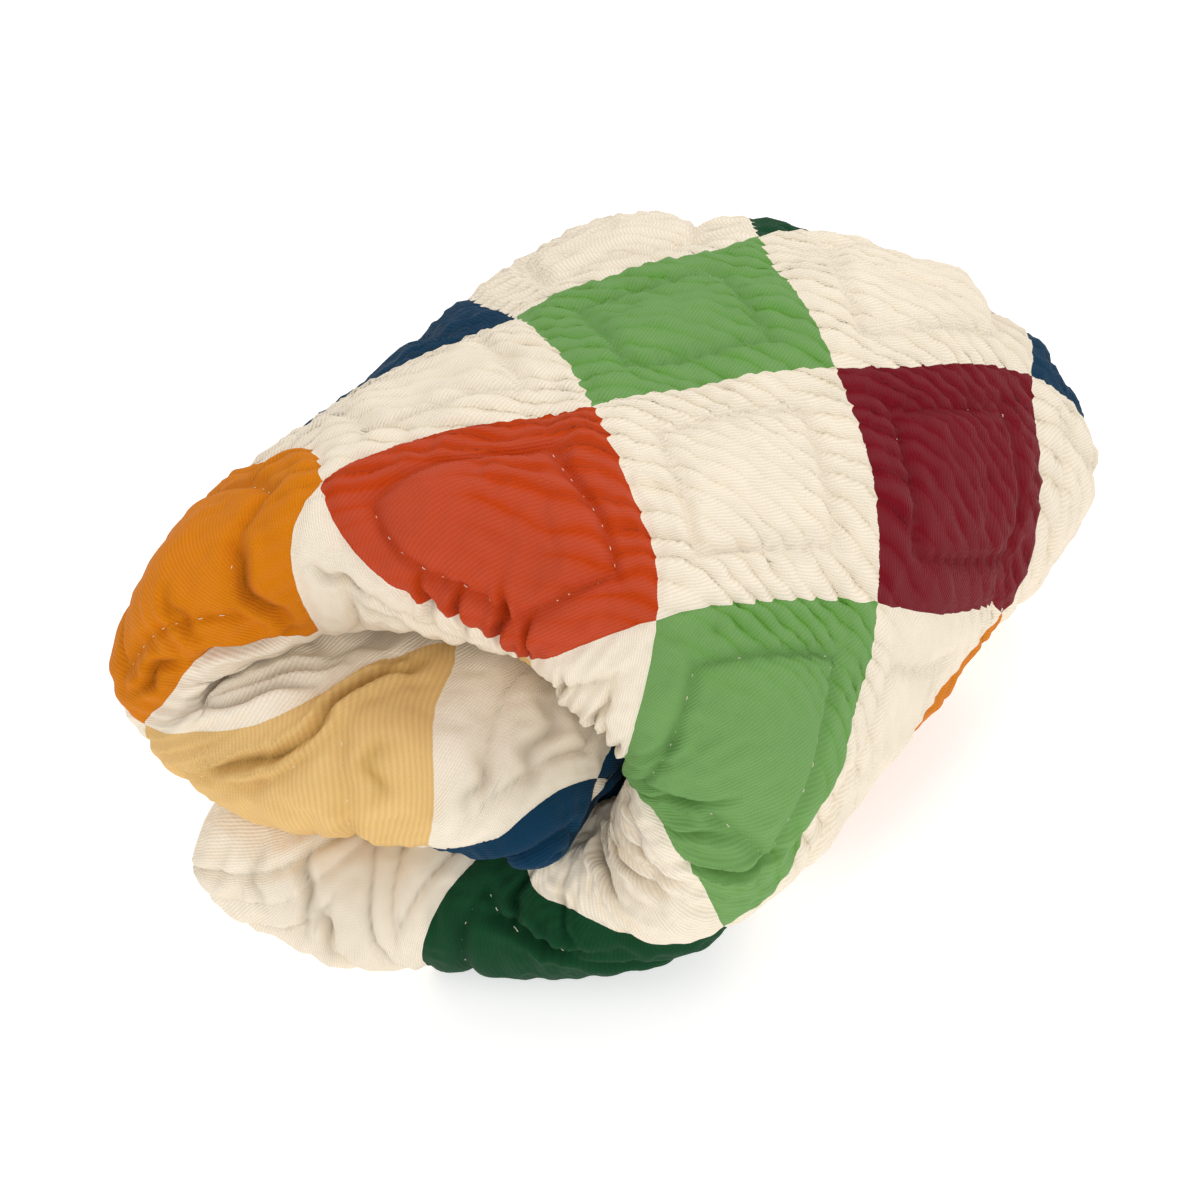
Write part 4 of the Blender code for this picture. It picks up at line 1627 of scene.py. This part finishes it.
    def build(self) -> None:
        """Make the quilt's objects and dress them."""
        points = self.settled()
        piece = self.add(self.mesh(points), JerseyMaterial(JerseyFinish(), self.patchwork).build())
        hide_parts(NODE)
        stitches = RunningStitches(self.patchwork, self.quilting.inner_square)
        along, behind = stitches.routes()
        places = self.read_at(points, along, behind)
        normals = self.read_at(self.normals(points), along, behind)
        off_floor = places[..., 2].min(axis=1) > stitches.lowest
        mesh = stitches.mesh(places[off_floor], normals[off_floor])
        self.add(mesh, stitches.material(ThreadFinish()))

    def add(self, mesh: bpy.types.Mesh, material: bpy.types.Material) -> bpy.types.Object:
        """Put a mesh in the scene as a piece that rides on the part.

        Args:
            mesh: Its mesh, whose name it takes.
            material: Its material.

        Returns:
            The piece.
        """
        piece = bpy.data.objects.new(mesh.name, mesh)
        bpy.context.scene.collection.objects.link(piece)
        mesh.materials.append(material)
        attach(piece, "root")
        LOG.info("%s: %d faces", mesh.name, len(mesh.polygons))
        return piece


class SoftLight(NamedTuple):
    """A square soft light: where it stands, its side and its power in watts."""

    place: tuple[float, float, float]
    size: float
    watts: float


STUDIO_LIGHTS = {
    "key": SoftLight((0.25, 1.1, 2.3), 1.0, 21),
    "fill": SoftLight((-1.4, -1.6, 1.6), 1.6, 6),
    "front": SoftLight((1.5, -1.9, 1.3), 1.6, 16),
}


@dataclass
class Studio:
    """A pale floor, soft studio light and the camera at the photograph's angle."""

    azimuth: float = math.radians(26)
    elevation: float = math.radians(40)
    distance: float = 2.343
    lens: float = 129.4
    sensor: float = 36.0
    target: tuple[float, float, float] = (0.0, -0.0213, 0.1218)
    lit_middle: tuple[float, float, float] = (0.0, 0.0, 0.1)
    sky: float = 0.62
    floor_size: float = 12.0
    floor_gap: float = 0.0005
    floor_colour: str = "#CFCFCF"
    floor_roughness: float = 0.95
    glow: float = 0.60

    def floor(self) -> None:
        """A wide pale floor, which glows a little so that its shadows stay as light as in the photo."""
        bpy.ops.mesh.primitive_plane_add(size=self.floor_size, location=(0, 0, -self.floor_gap))
        floor = bpy.context.object
        floor.name = "studio_floor"
        material = bpy.data.materials.new("studio_floor_paint")
        material.use_nodes = True
        shader = material.node_tree.nodes["Principled BSDF"]
        shader.inputs["Base Color"].default_value = linear(self.floor_colour)
        shader.inputs["Roughness"].default_value = self.floor_roughness
        shader.inputs["Emission Color"].default_value = linear("#FFFFFF")
        shader.inputs["Emission Strength"].default_value = self.glow
        floor.data.materials.append(material)

    def light(self, name: str, light: SoftLight) -> None:
        """Hang up a light, aimed at the quilt.

        Args:
            name: Its name.
            light: Its place, size and power.
        """
        data = bpy.data.lights.new(name, "AREA")
        data.shape = "SQUARE"
        data.size = light.size
        data.energy = light.watts
        lamp = bpy.data.objects.new(name, data)
        lamp.location = light.place
        towards = Vector(self.lit_middle) - Vector(light.place)
        lamp.rotation_euler = towards.to_track_quat("-Z", "Y").to_euler()
        bpy.context.scene.collection.objects.link(lamp)

    def camera(self) -> None:
        """Set up the camera."""
        data = bpy.data.cameras.new("camera")
        data.lens = self.lens
        data.sensor_width = self.sensor
        camera = bpy.data.objects.new("camera", data)
        back = Vector((
            math.sin(self.azimuth) * math.cos(self.elevation),
            -math.cos(self.azimuth) * math.cos(self.elevation),
            math.sin(self.elevation),
        ))
        camera.location = Vector(self.target) + back * self.distance
        camera.rotation_euler = (-back).to_track_quat("-Z", "Y").to_euler()
        bpy.context.scene.collection.objects.link(camera)
        bpy.context.scene.camera = camera

    def build(self) -> None:
        """Set up floor, light and camera."""
        self.floor()
        world = bpy.data.worlds.new("studio")
        world.use_nodes = True
        background = world.node_tree.nodes["Background"]
        background.inputs["Color"].default_value = (1.0, 1.0, 1.0, 1.0)
        background.inputs["Strength"].default_value = self.sky
        bpy.context.scene.world = world
        bpy.context.scene.view_settings.view_transform = "Standard"
        for name, light in STUDIO_LIGHTS.items():
            self.light(name, light)
        self.camera()
        LOG.info("studio: camera and %d lights set", len(STUDIO_LIGHTS))


def main() -> None:
    """Build the quilt and the studio."""
    logging.basicConfig(level=logging.INFO, format="%(message)s")
    bpy.ops.object.select_all(action="DESELECT")
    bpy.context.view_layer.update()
    RolledQuilt().build()
    Studio().build()


if __name__ == "__main__":
    main()
